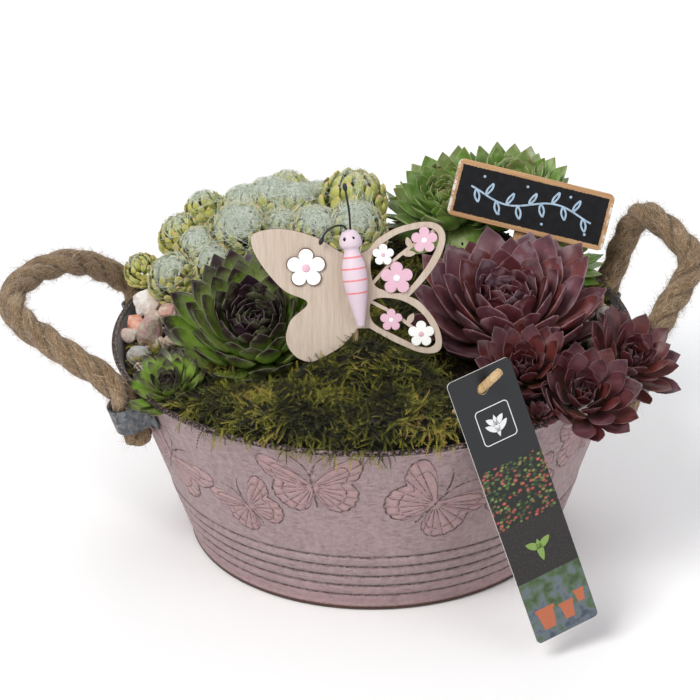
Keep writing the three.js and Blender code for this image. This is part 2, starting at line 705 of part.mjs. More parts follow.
function moss(seed) {
  const random = randomFrom(seed);
  const lumps = MOSS_LUMPS.map(([x, y, z, a, b, c]) => {
    const geometry = new THREE.SphereGeometry(1, 8, 4);
    geometry.rotateX(Math.PI / 2);
    geometry.scale(a, b, c);
    geometry.translate(x, y, z);
    return toSolid(geometry);
  });
  const sprigs = [];
  for (let i = 0; i < MOSS_SPRIGS; i += 1) {
    const [x, y, z, a, b, c] = MOSS_LUMPS[i % MOSS_LUMPS.length];
    const turn = random() * Math.PI * 2;
    const away = 0.25 + 0.6 * random();
    const level = Math.sqrt(1 - away * away);
    const spot = vec(x + a * away * Math.cos(turn), y + b * away * Math.sin(turn), z + c * level);
    const heading = vec(Math.cos(turn) * away, Math.sin(turn) * away, 0.9).normalize();
    const sprigTip = spot.clone().addScaledVector(heading, 5 + 3 * random());
    const sprigRoot = spot.clone().addScaledVector(heading, -4);
    sprigs.push(rod(sprigRoot, sprigTip, 2.2, 0.35, 3));
  }
  return joinAll([...lumps, ...sprigs]);
}

// The butterfly pick: a cut and painted plywood butterfly with a turned body, on a stick
const PICK_LEAN = 20;
const PICK_ORIGIN = vec(-8, -68, 148.3);
const PICK_BOARD = 3;
const pickUp = vec(0, Math.sin(radians(PICK_LEAN)), Math.cos(radians(PICK_LEAN)));
const pickFrame = frameAt(PICK_ORIGIN, vec(1, 0, 0), pickUp);
const pickPoint = (u, v, w) => vec(u, v, w).applyMatrix4(pickFrame);

const PICK_OUTLINE = [
  [0, 0], [6.5, 0], [14, -4.5], [21.5, -8.4], [32, -12.8], [39.5, -13.2], [43, -10.5], [43, -4], [39.5, 4.5],
  [32.5, 13], [27, 16], [36, 25.5], [42.5, 35], [45.7, 44], [44.8, 50], [40.5, 53.4], [33, 54], [21.5, 51.4],
  [11.5, 46], [4.7, 39.5], [-6.2, 38.7], [-19.2, 46.5], [-34.8, 51.3], [-47.8, 50.8], [-53.4, 46.6],
  [-49.3, 35], [-37.4, 20.4], [-25, 13.6], [-33.8, 4.7], [-36.3, -5.7], [-32, -13.6], [-24.9, -16.8],
  [-18.7, -15.2], [-7.8, -9], [-2.2, -3.2],
];
const UPPER_WINDOW = [
  [8.5, 24], [14, 19.5], [24.5, 18.6], [36, 31.5], [42.2, 44.5], [39.8, 50], [33.5, 50.8], [20, 47.2],
  [8.5, 37.5],
];
const LOWER_WINDOW = [
  [8, 3.5], [20, -4], [32.5, -9.8], [38.5, -9.6], [39.8, -5], [34, 6.5], [22.5, 14.2], [8.5, 14.5],
];
const UPPER_SPRIG = [[6, 20.5], [21, 36], [40, 49.5]];
const LOWER_SPRIG = [[6, 14.5], [20, 6.5], [37, -7]];
const SPRIG_LEAVES = [
  [17, 33, 150, 7], [24, 38, 0, 7.5], [28, 41, 110, 6.5], [26, 2, 60, 7], [19, 7, -110, 6],
];
const WHITE_PETALS = 0xf2efe9;
const PINK_PETALS = 0xe3a7b4;
const FLOWERS = [
  { at: [-25.4, 31.4], radius: 10.4, colour: WHITE_PETALS },
  { at: [14, 37.6], radius: 5.6, colour: WHITE_PETALS },
  { at: [35, 44.8], radius: 6.8, colour: PINK_PETALS },
  { at: [20.7, 25.6], radius: 8.4, colour: PINK_PETALS },
  { at: [17.6, 4.2], radius: 5.8, colour: PINK_PETALS },
  { at: [32.8, -3.2], radius: 6.8, colour: WHITE_PETALS },
];
const FLOWER_THICKNESS = 1.2;
const FLOWER_POINTS = 15;
const PETALS = 5;
const PETAL_NOTCH = 0.4;

function ribbonOutline(points, width) {
  const sides = points.map(([u, v], i) => {
    const [pu, pv] = points[Math.max(0, i - 1)];
    const [nu, nv] = points[Math.min(points.length - 1, i + 1)];
    const length = Math.hypot(nu - pu, nv - pv);
    return [[u - ((nv - pv) / length) * width, v + ((nu - pu) / length) * width],
      [u + ((nv - pv) / length) * width, v - ((nu - pu) / length) * width]];
  });
  return [...sides.map((s) => s[0]), ...sides.map((s) => s[1]).reverse()];
}

function sprigLeafOutline([u, v, degrees, length]) {
  const shape = [[-0.1, 0], [0.45, -1.7], [1, 0], [0.45, 1.7]];
  const [c, s] = [Math.cos(radians(degrees)), Math.sin(radians(degrees))];
  return shape.map(([a, b]) => [u + a * length * c - b * s, v + a * length * s + b * c]);
}

function pickBoard() {
  const cut = (outline) => plate(outline, -PICK_BOARD - 1, 1, pickFrame);
  const full = (outline) => plate(outline, -PICK_BOARD, 0, pickFrame);
  const sprigs = [ribbonOutline(UPPER_SPRIG, 0.9), ribbonOutline(LOWER_SPRIG, 0.9)].map(full);
  const leaves = SPRIG_LEAVES.map((leaf) => full(sprigLeafOutline(leaf)));
  const windows = cut(UPPER_WINDOW).add(cut(LOWER_WINDOW));
  const openwork = joinAll([...sprigs, ...leaves]);
  return largestPiece(full(PICK_OUTLINE).subtract(windows.subtract(openwork)));
}

function flower({ at, radius }) {
  const outline = Array.from({ length: FLOWER_POINTS }, (_, i) => {
    const a = (i / FLOWER_POINTS) * Math.PI * 2 + Math.PI / 2;
    const r = radius * (1 - (PETAL_NOTCH / 2) * (1 - Math.cos(PETALS * (a - Math.PI / 2))));
    return [at[0] + r * Math.cos(a), at[1] + r * Math.sin(a)];
  });
  return plate(outline, CLEARANCE, CLEARANCE + FLOWER_THICKNESS, pickFrame);
}

const BODY_FOOT = [2.2, 1.5];
const BODY_LEAN = 6.3;
const BODY_FLAT = 4;
const BODY_PROFILE = [
  [0, 0], [1.9, 0], [4.4, 12], [6.1, 22], [6, 31], [3.8, 39], [5.4, 41.6], [5.6, 45], [3.6, 48.8], [0, 50],
];

function pickBody() {
  const profile = BODY_PROFILE.map(([r, z]) => new THREE.Vector2(r, z));
  const geometry = new THREE.LatheGeometry(profile, 10);
  geometry.rotateZ(radians(BODY_LEAN));
  geometry.translate(BODY_FOOT[0], BODY_FOOT[1], BODY_FLAT + CLEARANCE);
  geometry.applyMatrix4(pickFrame);
  const behind = [[-60, -40], [60, -40], [60, 90], [-60, 90]];
  return toSolid(geometry).subtract(plate(behind, -30, CLEARANCE, pickFrame));
}

const WIRE_RADIUS = 0.6;

function headTop(gap) {
  const along = BODY_PROFILE.at(-1)[1] + gap;
  const u = BODY_FOOT[0] - along * Math.sin(radians(BODY_LEAN));
  const v = BODY_FOOT[1] + along * Math.cos(radians(BODY_LEAN));
  return [u, v];
}

function antenna(route) {
  const points = route.map(([u, v, w]) => pickPoint(u, v, w));
  const wire = tubeAlong(points, WIRE_RADIUS, 6, 5);
  const bead = new THREE.SphereGeometry(1, 6, 4);
  bead.scale(1.3, 1.3, 2.4);
  const end = points.at(-1);
  bead.translate(end.x, end.y, end.z);
  return wire.add(toSolid(bead));
}

function antennaRoutes() {
  const [u, v] = headTop(CLEARANCE);
  const w = BODY_FLAT + CLEARANCE;
  return [
    [[u + 0.8, v, w], [u + 0.4, v + 8, w + 0.4], [u - 0.6, v + 15, w], [u - 1.6, v + 21, w - 0.6]],
    [
      [u - 0.8, v, w], [u - 3.5, v + 1.6, w], [u - 8, v + 1, w], [u - 12, v - 2, w],
      [u - 14, v - 6, w + 0.4],
    ],
  ];
}

const PICK_STICK_RADIUS = 1.6;

function pickStick(grow) {
  const back = -PICK_BOARD - CLEARANCE - PICK_STICK_RADIUS;
  return rod(pickPoint(-1, -52 - grow, back), pickPoint(-1, 24, back), PICK_STICK_RADIUS + grow,
    PICK_STICK_RADIUS + grow, 8);
}

// The chalkboard sign: a round-cornered wooden board on a tapered stake
const SIGN_LEAN = 20;
const SIGN_TILT = -14.5;
const SIGN_WIDTH = 87;
const SIGN_HEIGHT = 31.5;
const SIGN_CORNER = 3.2;
const SIGN_DEPTH = 4;
const SIGN_CENTRE = vec(87, 45, 166.2);
const signTurn = radians(SIGN_TILT);
const signRise = vec(0, Math.sin(radians(SIGN_LEAN)), Math.cos(radians(SIGN_LEAN)));
const sideways = vec(1, 0, 0);
const signAcross = sideways.clone().applyAxisAngle(sideways.clone().cross(signRise), signTurn);
const signUp = signRise.clone().applyAxisAngle(sideways.clone().cross(signRise), signTurn);
const signFrame = frameAt(SIGN_CENTRE, signAcross, signUp);

function rectangle(width, height) {
  const [u, v] = [width / 2, height / 2];
  return [[-u, -v], [u, -v], [u, v], [-u, v]];
}

// A rectangle round the origin with its corners rounded, as [u, v] points
function roundedRectangle(width, height, corner, steps) {
  const points = [];
  for (const [cu, cv, start] of [[1, 1, 0], [-1, 1, 90], [-1, -1, 180], [1, -1, 270]]) {
    for (let i = 0; i <= steps; i += 1) {
      const a = radians(start + (90 * i) / steps);
      const u = cu * (width / 2 - corner) + corner * Math.cos(a);
      const v = cv * (height / 2 - corner) + corner * Math.sin(a);
      points.push([u, v]);
    }
  }
  return points;
}

function signBoard() {
  return plate(roundedRectangle(SIGN_WIDTH, SIGN_HEIGHT, SIGN_CORNER, 3), -SIGN_DEPTH, 0, signFrame);
}

function signStake(grow) {
  const halfWidth = 5 + grow;
  const outline = [
    [-halfWidth, 10], [-halfWidth, -48], [-1.5 - grow, -74 - grow], [1.5 + grow, -74 - grow],
    [halfWidth, -48], [halfWidth, 10],
  ];
  const front = -SIGN_DEPTH - CLEARANCE;
  return plate(outline, front - 3 - grow, front + grow, signFrame);
}

// The hang tag: a stiff card leaning on the rim, held by a wooden pin through its hole
const TAG_TOP = vec(51.6, -121, 150.2);
const TAG_FOOT = vec(97, -147, 15.2);
const TAG_WIDTH = 36;
const TAG_THICKNESS = 0.8;
const TAG_CORNER = 2.5;
const TAG_HOLE_DROP = 9;
const TAG_HOLE_RADIUS = 3.1;
const TAG_PIN_RADIUS = 2.3;
const tagDown = TAG_FOOT.clone().sub(TAG_TOP);
const TAG_LENGTH = tagDown.length();
tagDown.normalize();
const tagAcross = vec(1, 0.42, 0);
tagAcross.addScaledVector(tagDown, -tagAcross.dot(tagDown)).normalize();
const tagFrame = frameAt(TAG_TOP, tagAcross, tagDown.clone().negate());
const pinHeading = vec(0.55, -0.35, 0.76).normalize();
const tagHole = TAG_TOP.clone().addScaledVector(tagDown, TAG_HOLE_DROP);

function tagCard() {
  const half = TAG_WIDTH / 2;
  const outline = [
    [-half + TAG_CORNER, -TAG_LENGTH], [half - TAG_CORNER, -TAG_LENGTH], [half, -TAG_LENGTH + TAG_CORNER],
    [half, -TAG_CORNER], [half - TAG_CORNER, 0], [-half + TAG_CORNER, 0], [-half, -TAG_CORNER],
    [-half, -TAG_LENGTH + TAG_CORNER],
  ];
  const card = plate(outline, -TAG_THICKNESS, 0, tagFrame);
  return card.subtract(tagPin(TAG_HOLE_RADIUS - TAG_PIN_RADIUS));
}

function tagPin(grow) {
  const from = tagHole.clone().addScaledVector(pinHeading, -58 - grow);
  const to = tagHole.clone().addScaledVector(pinHeading, 14 + grow);
  return rod(from, to, TAG_PIN_RADIUS * 0.7 + grow, TAG_PIN_RADIUS + grow, 8);
}

// Slabs that stand for the sign and the pick board, with room round them
function guardSlabs() {
  const sign = plate(rectangle(SIGN_WIDTH + 2, SIGN_HEIGHT + 2), -SIGN_DEPTH - 4.5, 1.2, signFrame);
  const board = plate(PICK_OUTLINE.map(([u, v]) => [u * 1.02, v * 1.02]), -PICK_BOARD - 1, 8, pickFrame);
  const tag = plate([[-19, -150], [19, -150], [19, 1], [-19, 1]], -TAG_THICKNESS - 0.5, 0.5, tagFrame);
  return [sign, board, tag];
}

const signSide = vec(0, 0, 1).applyMatrix4(new THREE.Matrix4().extractRotation(signFrame));
const behindSign = { normal: signSide, limit: signSide.dot(SIGN_CENTRE) - 9 };
const beforeSign = { normal: signSide.clone().negate(), limit: -signSide.dot(SIGN_CENTRE) - 1.5 };
for (const rosette of ROSETTES) {
  if (rosette.form === "green") rosette.planes = [behindSign];
  if (rosette.name === "burgundy_rosette") rosette.planes = [beforeSign];
}

// Assembly
const group = new THREE.Group();

function addPart(name, solid, colour, roughness = 0.8, metalness = 0) {
  const material = new THREE.MeshStandardMaterial({ color: colour, roughness, metalness });
  const mesh = new THREE.Mesh(toGeometry(solid), material);
  mesh.name = name;
  group.add(mesh);
}

const COLOURS = {
  burgundy: 0x5b2433, tipped: 0x4c7a2b, green: 0x5f9a44, cobweb: 0xa9b68c,
};

addPart("tub", tub(), 0xc09a9e, 0.6, 0.2);
for (const [place, azimuth] of Object.entries(EAR_AZIMUTHS)) {
  addPart(`ear_${place}`, ear(azimuth), 0x8d8f92, 0.5, 0.7);
}

const ropeRoutes = {
  rope_left: ropeRoute(EAR_AZIMUTHS.left_front, LEFT_LOOP, EAR_AZIMUTHS.left_rear),
  rope_right: ropeRoute(EAR_AZIMUTHS.right_front, RIGHT_LOOP, EAR_AZIMUTHS.right_rear),
};
const ropeGuards = [];
for (const [name, route] of Object.entries(ropeRoutes)) {
  addPart(name, tubeAlong(route, ROPE_RADIUS, ROPE_SIDES, ROPE_STEP), 0x9a7a55, 0.95);
  ropeGuards.push(tubeAlong(route, ROPE_RADIUS + CLEARANCE + 0.2, ROPE_SIDES, ROPE_STEP));
}

const soil = soilBody();
const soilGuard = soil.translate([0, 0, CLEARANCE]);
const rim = rimGuard();
const stakeGuards = [pickStick(CLEARANCE), signStake(CLEARANCE), tagPin(CLEARANCE)];
const slabs = guardSlabs();
const stoneSolids = STONES.map((row, i) => stone(row, 400 + i));

const stems = ROSETTES.map((rosette) => stem(rosette, 0));
const holes = ROSETTES.map((rosette) => stem(rosette, CLEARANCE));
addPart("soil", largestPiece(cutAll(soil, [...holes, ...stakeGuards])), 0x2b211b, 1);

ROSETTES.forEach((rosette, i) => {
  const others = holes.filter((_, k) => k !== i);
  const cutters = [soilGuard, rim, ...ropeGuards, ...slabs, ...stakeGuards, ...others];
  const whole = rosette.foot ? crown(rosette, 100 + i).add(neck(rosette)) : crown(rosette, 100 + i);
  const trimmed = largestPiece(cutAll(whole, cutters));
  addPart(rosette.name, largestPiece(trimmed.add(stems[i])), COLOURS[rosette.form], 0.55);
});

const rooms = ROSETTES.map(rosetteRoom);
const mossCutters = [soilGuard, rim, ...slabs, ...stakeGuards, ...holes, ...rooms];
addPart("moss", largestPiece(cutAll(moss(7), mossCutters)), 0x596022, 1);

STONES.forEach((row, i) => {
  const near = ROSETTES.filter(({ heart, radius }) => (
    Math.hypot(heart[0] - row.at[0], heart[1] - row.at[1]) < radius + STONE_ROOM));
  const cutters = [soilGuard, rim, ...near.map(rosetteRoom), ...holes];
  addPart(`stone_${i + 1}`, largestPiece(cutAll(stoneSolids[i], cutters)), row.colour, 0.9);
});

addPart("pick_board", pickBoard(), 0xc9a983, 0.75);
FLOWERS.forEach((row, i) => addPart(`pick_flower_${i + 1}`, flower(row), row.colour, 0.6));
addPart("pick_body", pickBody(), 0xe7b3bd, 0.45);
antennaRoutes().forEach((route, i) => addPart(`pick_antenna_${i + 1}`, antenna(route), 0x17161a, 0.4, 0.3));
addPart("pick_stick", pickStick(0), 0xc2a47b, 0.8);
addPart("sign_board", signBoard(), 0x2a2827, 0.8);
addPart("sign_stake", signStake(0), 0xc08a5c, 0.7);
addPart("tag_card", tagCard(), 0x34363d, 0.45);
addPart("tag_pin", tagPin(0), 0xc9ab78, 0.8);

export default group;
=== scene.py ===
"""Dresses the succulent dish garden: a zinc tub with rope handles, houseleeks, moss and ornaments."""

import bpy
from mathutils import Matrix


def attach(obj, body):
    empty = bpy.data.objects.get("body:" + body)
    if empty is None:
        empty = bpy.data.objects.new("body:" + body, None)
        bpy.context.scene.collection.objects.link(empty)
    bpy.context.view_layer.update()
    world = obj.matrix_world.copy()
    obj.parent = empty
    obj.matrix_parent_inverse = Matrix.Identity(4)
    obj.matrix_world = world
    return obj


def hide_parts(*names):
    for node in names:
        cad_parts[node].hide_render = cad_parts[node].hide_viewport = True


bl_info = {
    "name": "Succulent dish garden",
    "version": (1, 0, 0),
    "blender": (4, 5, 0),
    "location": "View3D > Sidebar > Dish garden",
    "description": "Dresses a planted zinc tub with rope handles, houseleeks, moss and ornaments",
    "category": "Object",
}

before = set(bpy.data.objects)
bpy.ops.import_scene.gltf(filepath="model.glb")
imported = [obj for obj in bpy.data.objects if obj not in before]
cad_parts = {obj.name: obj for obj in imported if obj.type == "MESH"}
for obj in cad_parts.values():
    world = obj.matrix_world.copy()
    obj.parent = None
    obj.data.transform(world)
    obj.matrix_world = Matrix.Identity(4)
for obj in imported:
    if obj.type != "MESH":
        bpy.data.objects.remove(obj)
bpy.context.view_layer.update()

import math
from math import cos, hypot, pi, radians, sin

import bmesh
import bpy
import numpy as np
from mathutils import Matrix, Vector, noise

MM = 0.001
SCALE_DOWN = Matrix.Scale(MM, 4)
GOLDEN_ANGLE = radians(137.508)
FULL_TURN = 2 * pi

# The tub's wall, in millimetres
TUB_HEIGHT = 115.0
TUB_BASE_RADIUS = 99.5
TUB_TOP_RADIUS = 138.0
SHEET = 1.2
RIM_RADIUS = 140.0
RIM_BEAD_RADIUS = 1.6
RIB_LEVELS = (10.5, 17.5, 24.5, 31.5, 38.5)
RIB_STEP = 7.0
RIB_GROOVE = 0.9
RIB_CROWN = 0.7
WALL_SLOPE = (TUB_TOP_RADIUS - TUB_BASE_RADIUS) / TUB_HEIGHT
WALL_LEAN = math.atan(WALL_SLOPE)
SOIL_EDGE = 107.0


def srgb(red, green, blue):
    """A linear colour from 0 to 255 values as the eye reads them."""
    def linear(value):
        value /= 255
        return value / 12.92 if value <= 0.04045 else ((value + 0.055) / 1.055) ** 2.4
    return linear(red), linear(green), linear(blue), 1.0


def wall_radius(level):
    """The tub's outer radius at a height, in millimetres."""
    return TUB_BASE_RADIUS + WALL_SLOPE * level


# Settings that a user would change

def colour_setting(name, description, *levels):
    return bpy.props.FloatVectorProperty(
        name=name, description=description, default=srgb(*levels)[:3], subtype="COLOR")


def length_setting(name, description, default, low=0.0):
    return bpy.props.FloatProperty(
        name=name, description=description, default=default, min=low, unit="LENGTH")


def count_setting(name, description, default):
    return bpy.props.IntProperty(name=name, description=description, default=default, min=0)


class StageSettings(bpy.types.PropertyGroup):
    distance: length_setting("Camera distance", "From the camera to the middle of the tub", 1.6, 0.5)
    elevation: bpy.props.FloatProperty(
        name="Camera elevation", description="How far the camera looks down",
        default=radians(28.02), subtype="ANGLE")
    lens: bpy.props.FloatProperty(
        name="Lens", description="Focal length in millimetres", default=150.6, min=20)
    floor: colour_setting("Floor", "Colour of the floor", 252, 252, 252)


class TubSettings(bpy.types.PropertyGroup):
    paint: colour_setting("Paint", "Dusty pink paint", 168, 146, 147)
    wing: colour_setting("Wing", "Paint on the raised butterflies", 190, 150, 150)
    wear: colour_setting("Wear", "Brown patina where the paint is rubbed", 72, 46, 36)
    relief: length_setting("Relief", "How far the butterflies stand out", 0.0008)


class RopeSettings(bpy.types.PropertyGroup):
    diameter: length_setting("Diameter", "Across the three strands", 0.0148, 0.004)
    lay: length_setting("Lay", "Length of one turn of a strand", 0.052, 0.01)
    fibres: count_setting("Fibres", "Loose fibres on each rope", 9000)


class PlantSettings(bpy.types.PropertyGroup):
    fullness: bpy.props.FloatProperty(
        name="Fullness", description="Leaves for each leaf of the plain rosette", default=1.0, min=0.3)
    web_threads: count_setting("Web threads", "Threads on each webbed rosette", 760)
    moss_strands: count_setting("Moss strands", "Strands of moss", 13800)


class OrnamentSettings(bpy.types.PropertyGroup):
    petal_white: colour_setting("White petals", "Paint of the white flowers", 244, 243, 240)
    petal_pink: colour_setting("Pink petals", "Paint of the pink flowers", 222, 180, 196)
    body_pink: colour_setting("Pink body", "Paint of the turned body", 212, 194, 206)
    chalk: colour_setting("Chalk", "Chalk strokes on the sign", 176, 200, 220)


class GardenSettings(bpy.types.PropertyGroup):
    stage: bpy.props.PointerProperty(type=StageSettings)
    tub: bpy.props.PointerProperty(type=TubSettings)
    rope: bpy.props.PointerProperty(type=RopeSettings)
    plants: bpy.props.PointerProperty(type=PlantSettings)
    ornaments: bpy.props.PointerProperty(type=OrnamentSettings)


# Pieces and their meshes

def add_piece(name, mesh, materials, nodes=(), smooth=True):
    """Makes an object of a finished mesh and ties it to the frame."""
    piece = bpy.data.objects.new(name, mesh)
    bpy.context.scene.collection.objects.link(piece)
    for material in materials:
        mesh.materials.append(material)
    if smooth:
        mesh.shade_smooth()
    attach(piece, "root")
    if nodes:
        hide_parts(*nodes)
    return piece


def mesh_from(bm, name, turn_out=False):
    """Turns a bmesh into a mesh and frees it."""
    if turn_out:
        bmesh.ops.recalc_face_normals(bm, faces=bm.faces)
    mesh = bpy.data.meshes.new(name)
    bm.to_mesh(mesh)
    bm.free()
    return mesh


def store(mesh, name, values):
    """Keeps one number for each vertex as an attribute."""
    attribute = mesh.attributes.new(name, "FLOAT", "POINT")
    attribute.data.foreach_set("value", np.asarray(values, dtype=np.float32))


def store_vectors(mesh, name, values):
    """Keeps a vector for each vertex as an attribute."""
    attribute = mesh.attributes.new(name, "FLOAT_VECTOR", "POINT")
    attribute.data.foreach_set("vector", values.astype(np.float32).ravel())


def new_shape(kind, **settings):
    """A bmesh with one shape made by a bmesh operator."""
    bm = bmesh.new()
    getattr(bmesh.ops, "create_" + kind)(bm, **settings)
    return bm


def spun(profile, steps, upright=True, merge=0.01):
    """A surface spun from a section of radii and heights, about Z when upright and else about Y."""
    bm = bmesh.new()
    ring = [bm.verts.new((radius, 0, level) if upright else (radius, level, 0)) for radius, level in profile]
    edges = [bm.edges.new(pair) for pair in zip(ring, ring[1:])]
    bmesh.ops.spin(bm, geom=[*ring, *edges], cent=(0, 0, 0), axis=(0, 0, 1) if upright else (0, 1, 0),
                   dvec=(0, 0, 0), angle=FULL_TURN, steps=steps, use_merge=True, use_duplicate=False)
    bmesh.ops.remove_doubles(bm, verts=bm.verts, dist=merge)
    return bm


def points_of(mesh):
    """A mesh's vertices as an array."""
    flat = np.empty(len(mesh.vertices) * 3)
    mesh.vertices.foreach_get("co", flat)
    return flat.reshape(-1, 3)


def move_points(mesh, points):
    mesh.vertices.foreach_set("co", points.ravel())
    mesh.update()


class Template:
    """A small shape made by bmesh operators, kept as arrays so that it can be repeated many times."""

    def __init__(self, bm):
        bm.verts.index_update()
        self.points = np.array([vert.co[:] for vert in bm.verts])
        self.faces = [[vert.index for vert in face.verts] for face in bm.faces]
        bm.free()


class Heap:
    """Many copies of a template's faces, each with its own cloud of points and its own attributes."""

    def __init__(self, template):
        self.template = template
        self.clouds = []
        self.attributes = {}

    def add(self, cloud, **attributes):
        """Adds a copy, placed in millimetres. An attribute has one value, or one for each point."""
        self.clouds.append(cloud * MM)
        for key, value in attributes.items():
            self.attributes.setdefault(key, []).append(np.broadcast_to(value, len(cloud)))

    def mesh(self, name, part=slice(None)):
        clouds = self.clouds[part]
        count = len(self.template.points)
        corners = np.concatenate(self.template.faces)
        sizes = np.array([len(face) for face in self.template.faces])
        loops = (corners[None, :] + count * np.arange(len(clouds))[:, None]).ravel()
        starts = np.concatenate([[0], np.cumsum(np.tile(sizes, len(clouds)))[:-1]])
        mesh = bpy.data.meshes.new(name)
        mesh.vertices.add(count * len(clouds))
        mesh.vertices.foreach_set("co", np.concatenate(clouds).ravel())
        mesh.loops.add(len(loops))
        mesh.loops.foreach_set("vertex_index", loops.astype(np.int32))
        mesh.polygons.add(len(starts))
        mesh.polygons.foreach_set("loop_start", starts.astype(np.int32))
        mesh.update(calc_edges=True)
        for key, values in self.attributes.items():
            store(mesh, key, np.concatenate(values[part]))
        return mesh


def smooth_path(points, step):
    """Points a step apart along a smooth curve through the given points."""
    points = [Vector(point) for point in points]
    ends = [points[0] * 2 - points[1], *points, points[-1] * 2 - points[-2]]
    dense = []
    for a, b, c, d in zip(ends, ends[1:], ends[2:], ends[3:]):
        for i in range(16):
            t = i / 16
            dense.append(0.5 * (2 * b + (c - a) * t + (2 * a - 5 * b + 4 * c - d) * t * t
                                + (3 * b - a - 3 * c + d) * t ** 3))
    dense.append(points[-1])
    lengths = [0.0]
    for p, q in zip(dense, dense[1:]):
        lengths.append(lengths[-1] + (q - p).length)
    count = max(2, round(lengths[-1] / step))
    spots = np.linspace(0, lengths[-1], count + 1)
    flat = np.array([list(p) for p in dense])
    path = np.stack([np.interp(spots, lengths, flat[:, k]) for k in range(flat.shape[1])], axis=1)
    return path, lengths[-1]


def frames_along(path):
    """Two crosswise directions for each point of a path, turned as little as can be."""
    tangents = np.gradient(path, axis=0)
    tangents /= np.linalg.norm(tangents, axis=1)[:, None]
    side = np.cross(tangents[0], [0.0, 0.0, 1.0])
    if np.linalg.norm(side) < 0.1:
        side = np.cross(tangents[0], [1.0, 0.0, 0.0])
    sides = []
    for tangent in tangents:
        side = side - tangent * side.dot(tangent)
        side /= np.linalg.norm(side)
        sides.append(side)
    sides = np.array(sides)
    return sides, np.cross(tangents, sides), tangents


def tube_mesh(name, path, radius_at, sides):
    """A closed tube round a path. radius_at gives radii from arrays of angle and distance along."""
    bm = new_shape("grid", x_segments=sides, y_segments=len(path) - 1, size=0.5)
    across, up, _ = frames_along(path)
    steps = np.concatenate([[0], np.cumsum(np.linalg.norm(np.diff(path, axis=0), axis=1))])
    for vert in bm.verts:
        i = round((vert.co.y + 0.5) * (len(path) - 1))
        angle = round((vert.co.x + 0.5) * sides) % sides * FULL_TURN / sides
        radius = radius_at(angle, steps[i])
        vert.co = path[i] + radius * (cos(angle) * across[i] + sin(angle) * up[i])
    bmesh.ops.remove_doubles(bm, verts=bm.verts, dist=1e-3)
    bmesh.ops.holes_fill(bm, edges=[edge for edge in bm.edges if edge.is_boundary], sides=0)
    return mesh_from(bm, name, turn_out=True)


def plate_mesh(outlines, low, high, matrix, bevel=0.0):
    """A plate cut to closed outlines in millimetres, with inner outlines as holes, placed by a matrix."""
    curve = bpy.data.curves.new("outline", "CURVE")
    curve.dimensions = "2D"
    curve.fill_mode = "BOTH"
    curve.extrude = (high - low) / 2 - bevel
    curve.bevel_depth = bevel
    curve.offset = -bevel
    curve.bevel_resolution = 1
    for outline in outlines:
        spline = curve.splines.new("POLY")
        spline.points.add(len(outline) - 1)
        for point, (u, v) in zip(spline.points, outline):
            point.co = (u, v, 0, 1)
        spline.use_cyclic_u = True
    flat = bpy.data.objects.new("outline", curve)
    mesh = bpy.data.meshes.new_from_object(flat)
    bpy.data.objects.remove(flat)
    bpy.data.curves.remove(curve)
    mesh.transform(Matrix.Translation((0, 0, (low + high) / 2)))
    mesh.transform(matrix)
    return mesh


def joined(name, meshes):
    """One mesh of several, keeping their material numbers."""
    bm = bmesh.new()
    for mesh in meshes:
        bm.from_mesh(mesh)
        bpy.data.meshes.remove(mesh)
    return mesh_from(bm, name)


def plane_frame(origin, u_axis, v_axis):
    """A matrix from millimetres in a piece's own plane to metres in the garden."""
    w_axis = u_axis.cross(v_axis)
    matrix = Matrix((u_axis, v_axis, w_axis)).transposed().to_4x4()
    matrix.translation = origin
    return SCALE_DOWN @ matrix


# Shader graphs

class Signal:
    """One output of a shader node, which can be added, taken off and multiplied like a number."""

    def __init__(self, graph, socket):
        self.graph = graph
        self.socket = socket

    def __add__(self, other):
        return self.graph.math("ADD", self, other)

    def __sub__(self, other):
        return self.graph.math("SUBTRACT", self, other)

    def __rsub__(self, other):
        return self.graph.math("SUBTRACT", other, self)

    def __mul__(self, other):
        return self.graph.math("MULTIPLY", self, other)

    def __abs__(self):
        return self.graph.math("ABSOLUTE", self)

    __radd__ = __add__
    __rmul__ = __mul__


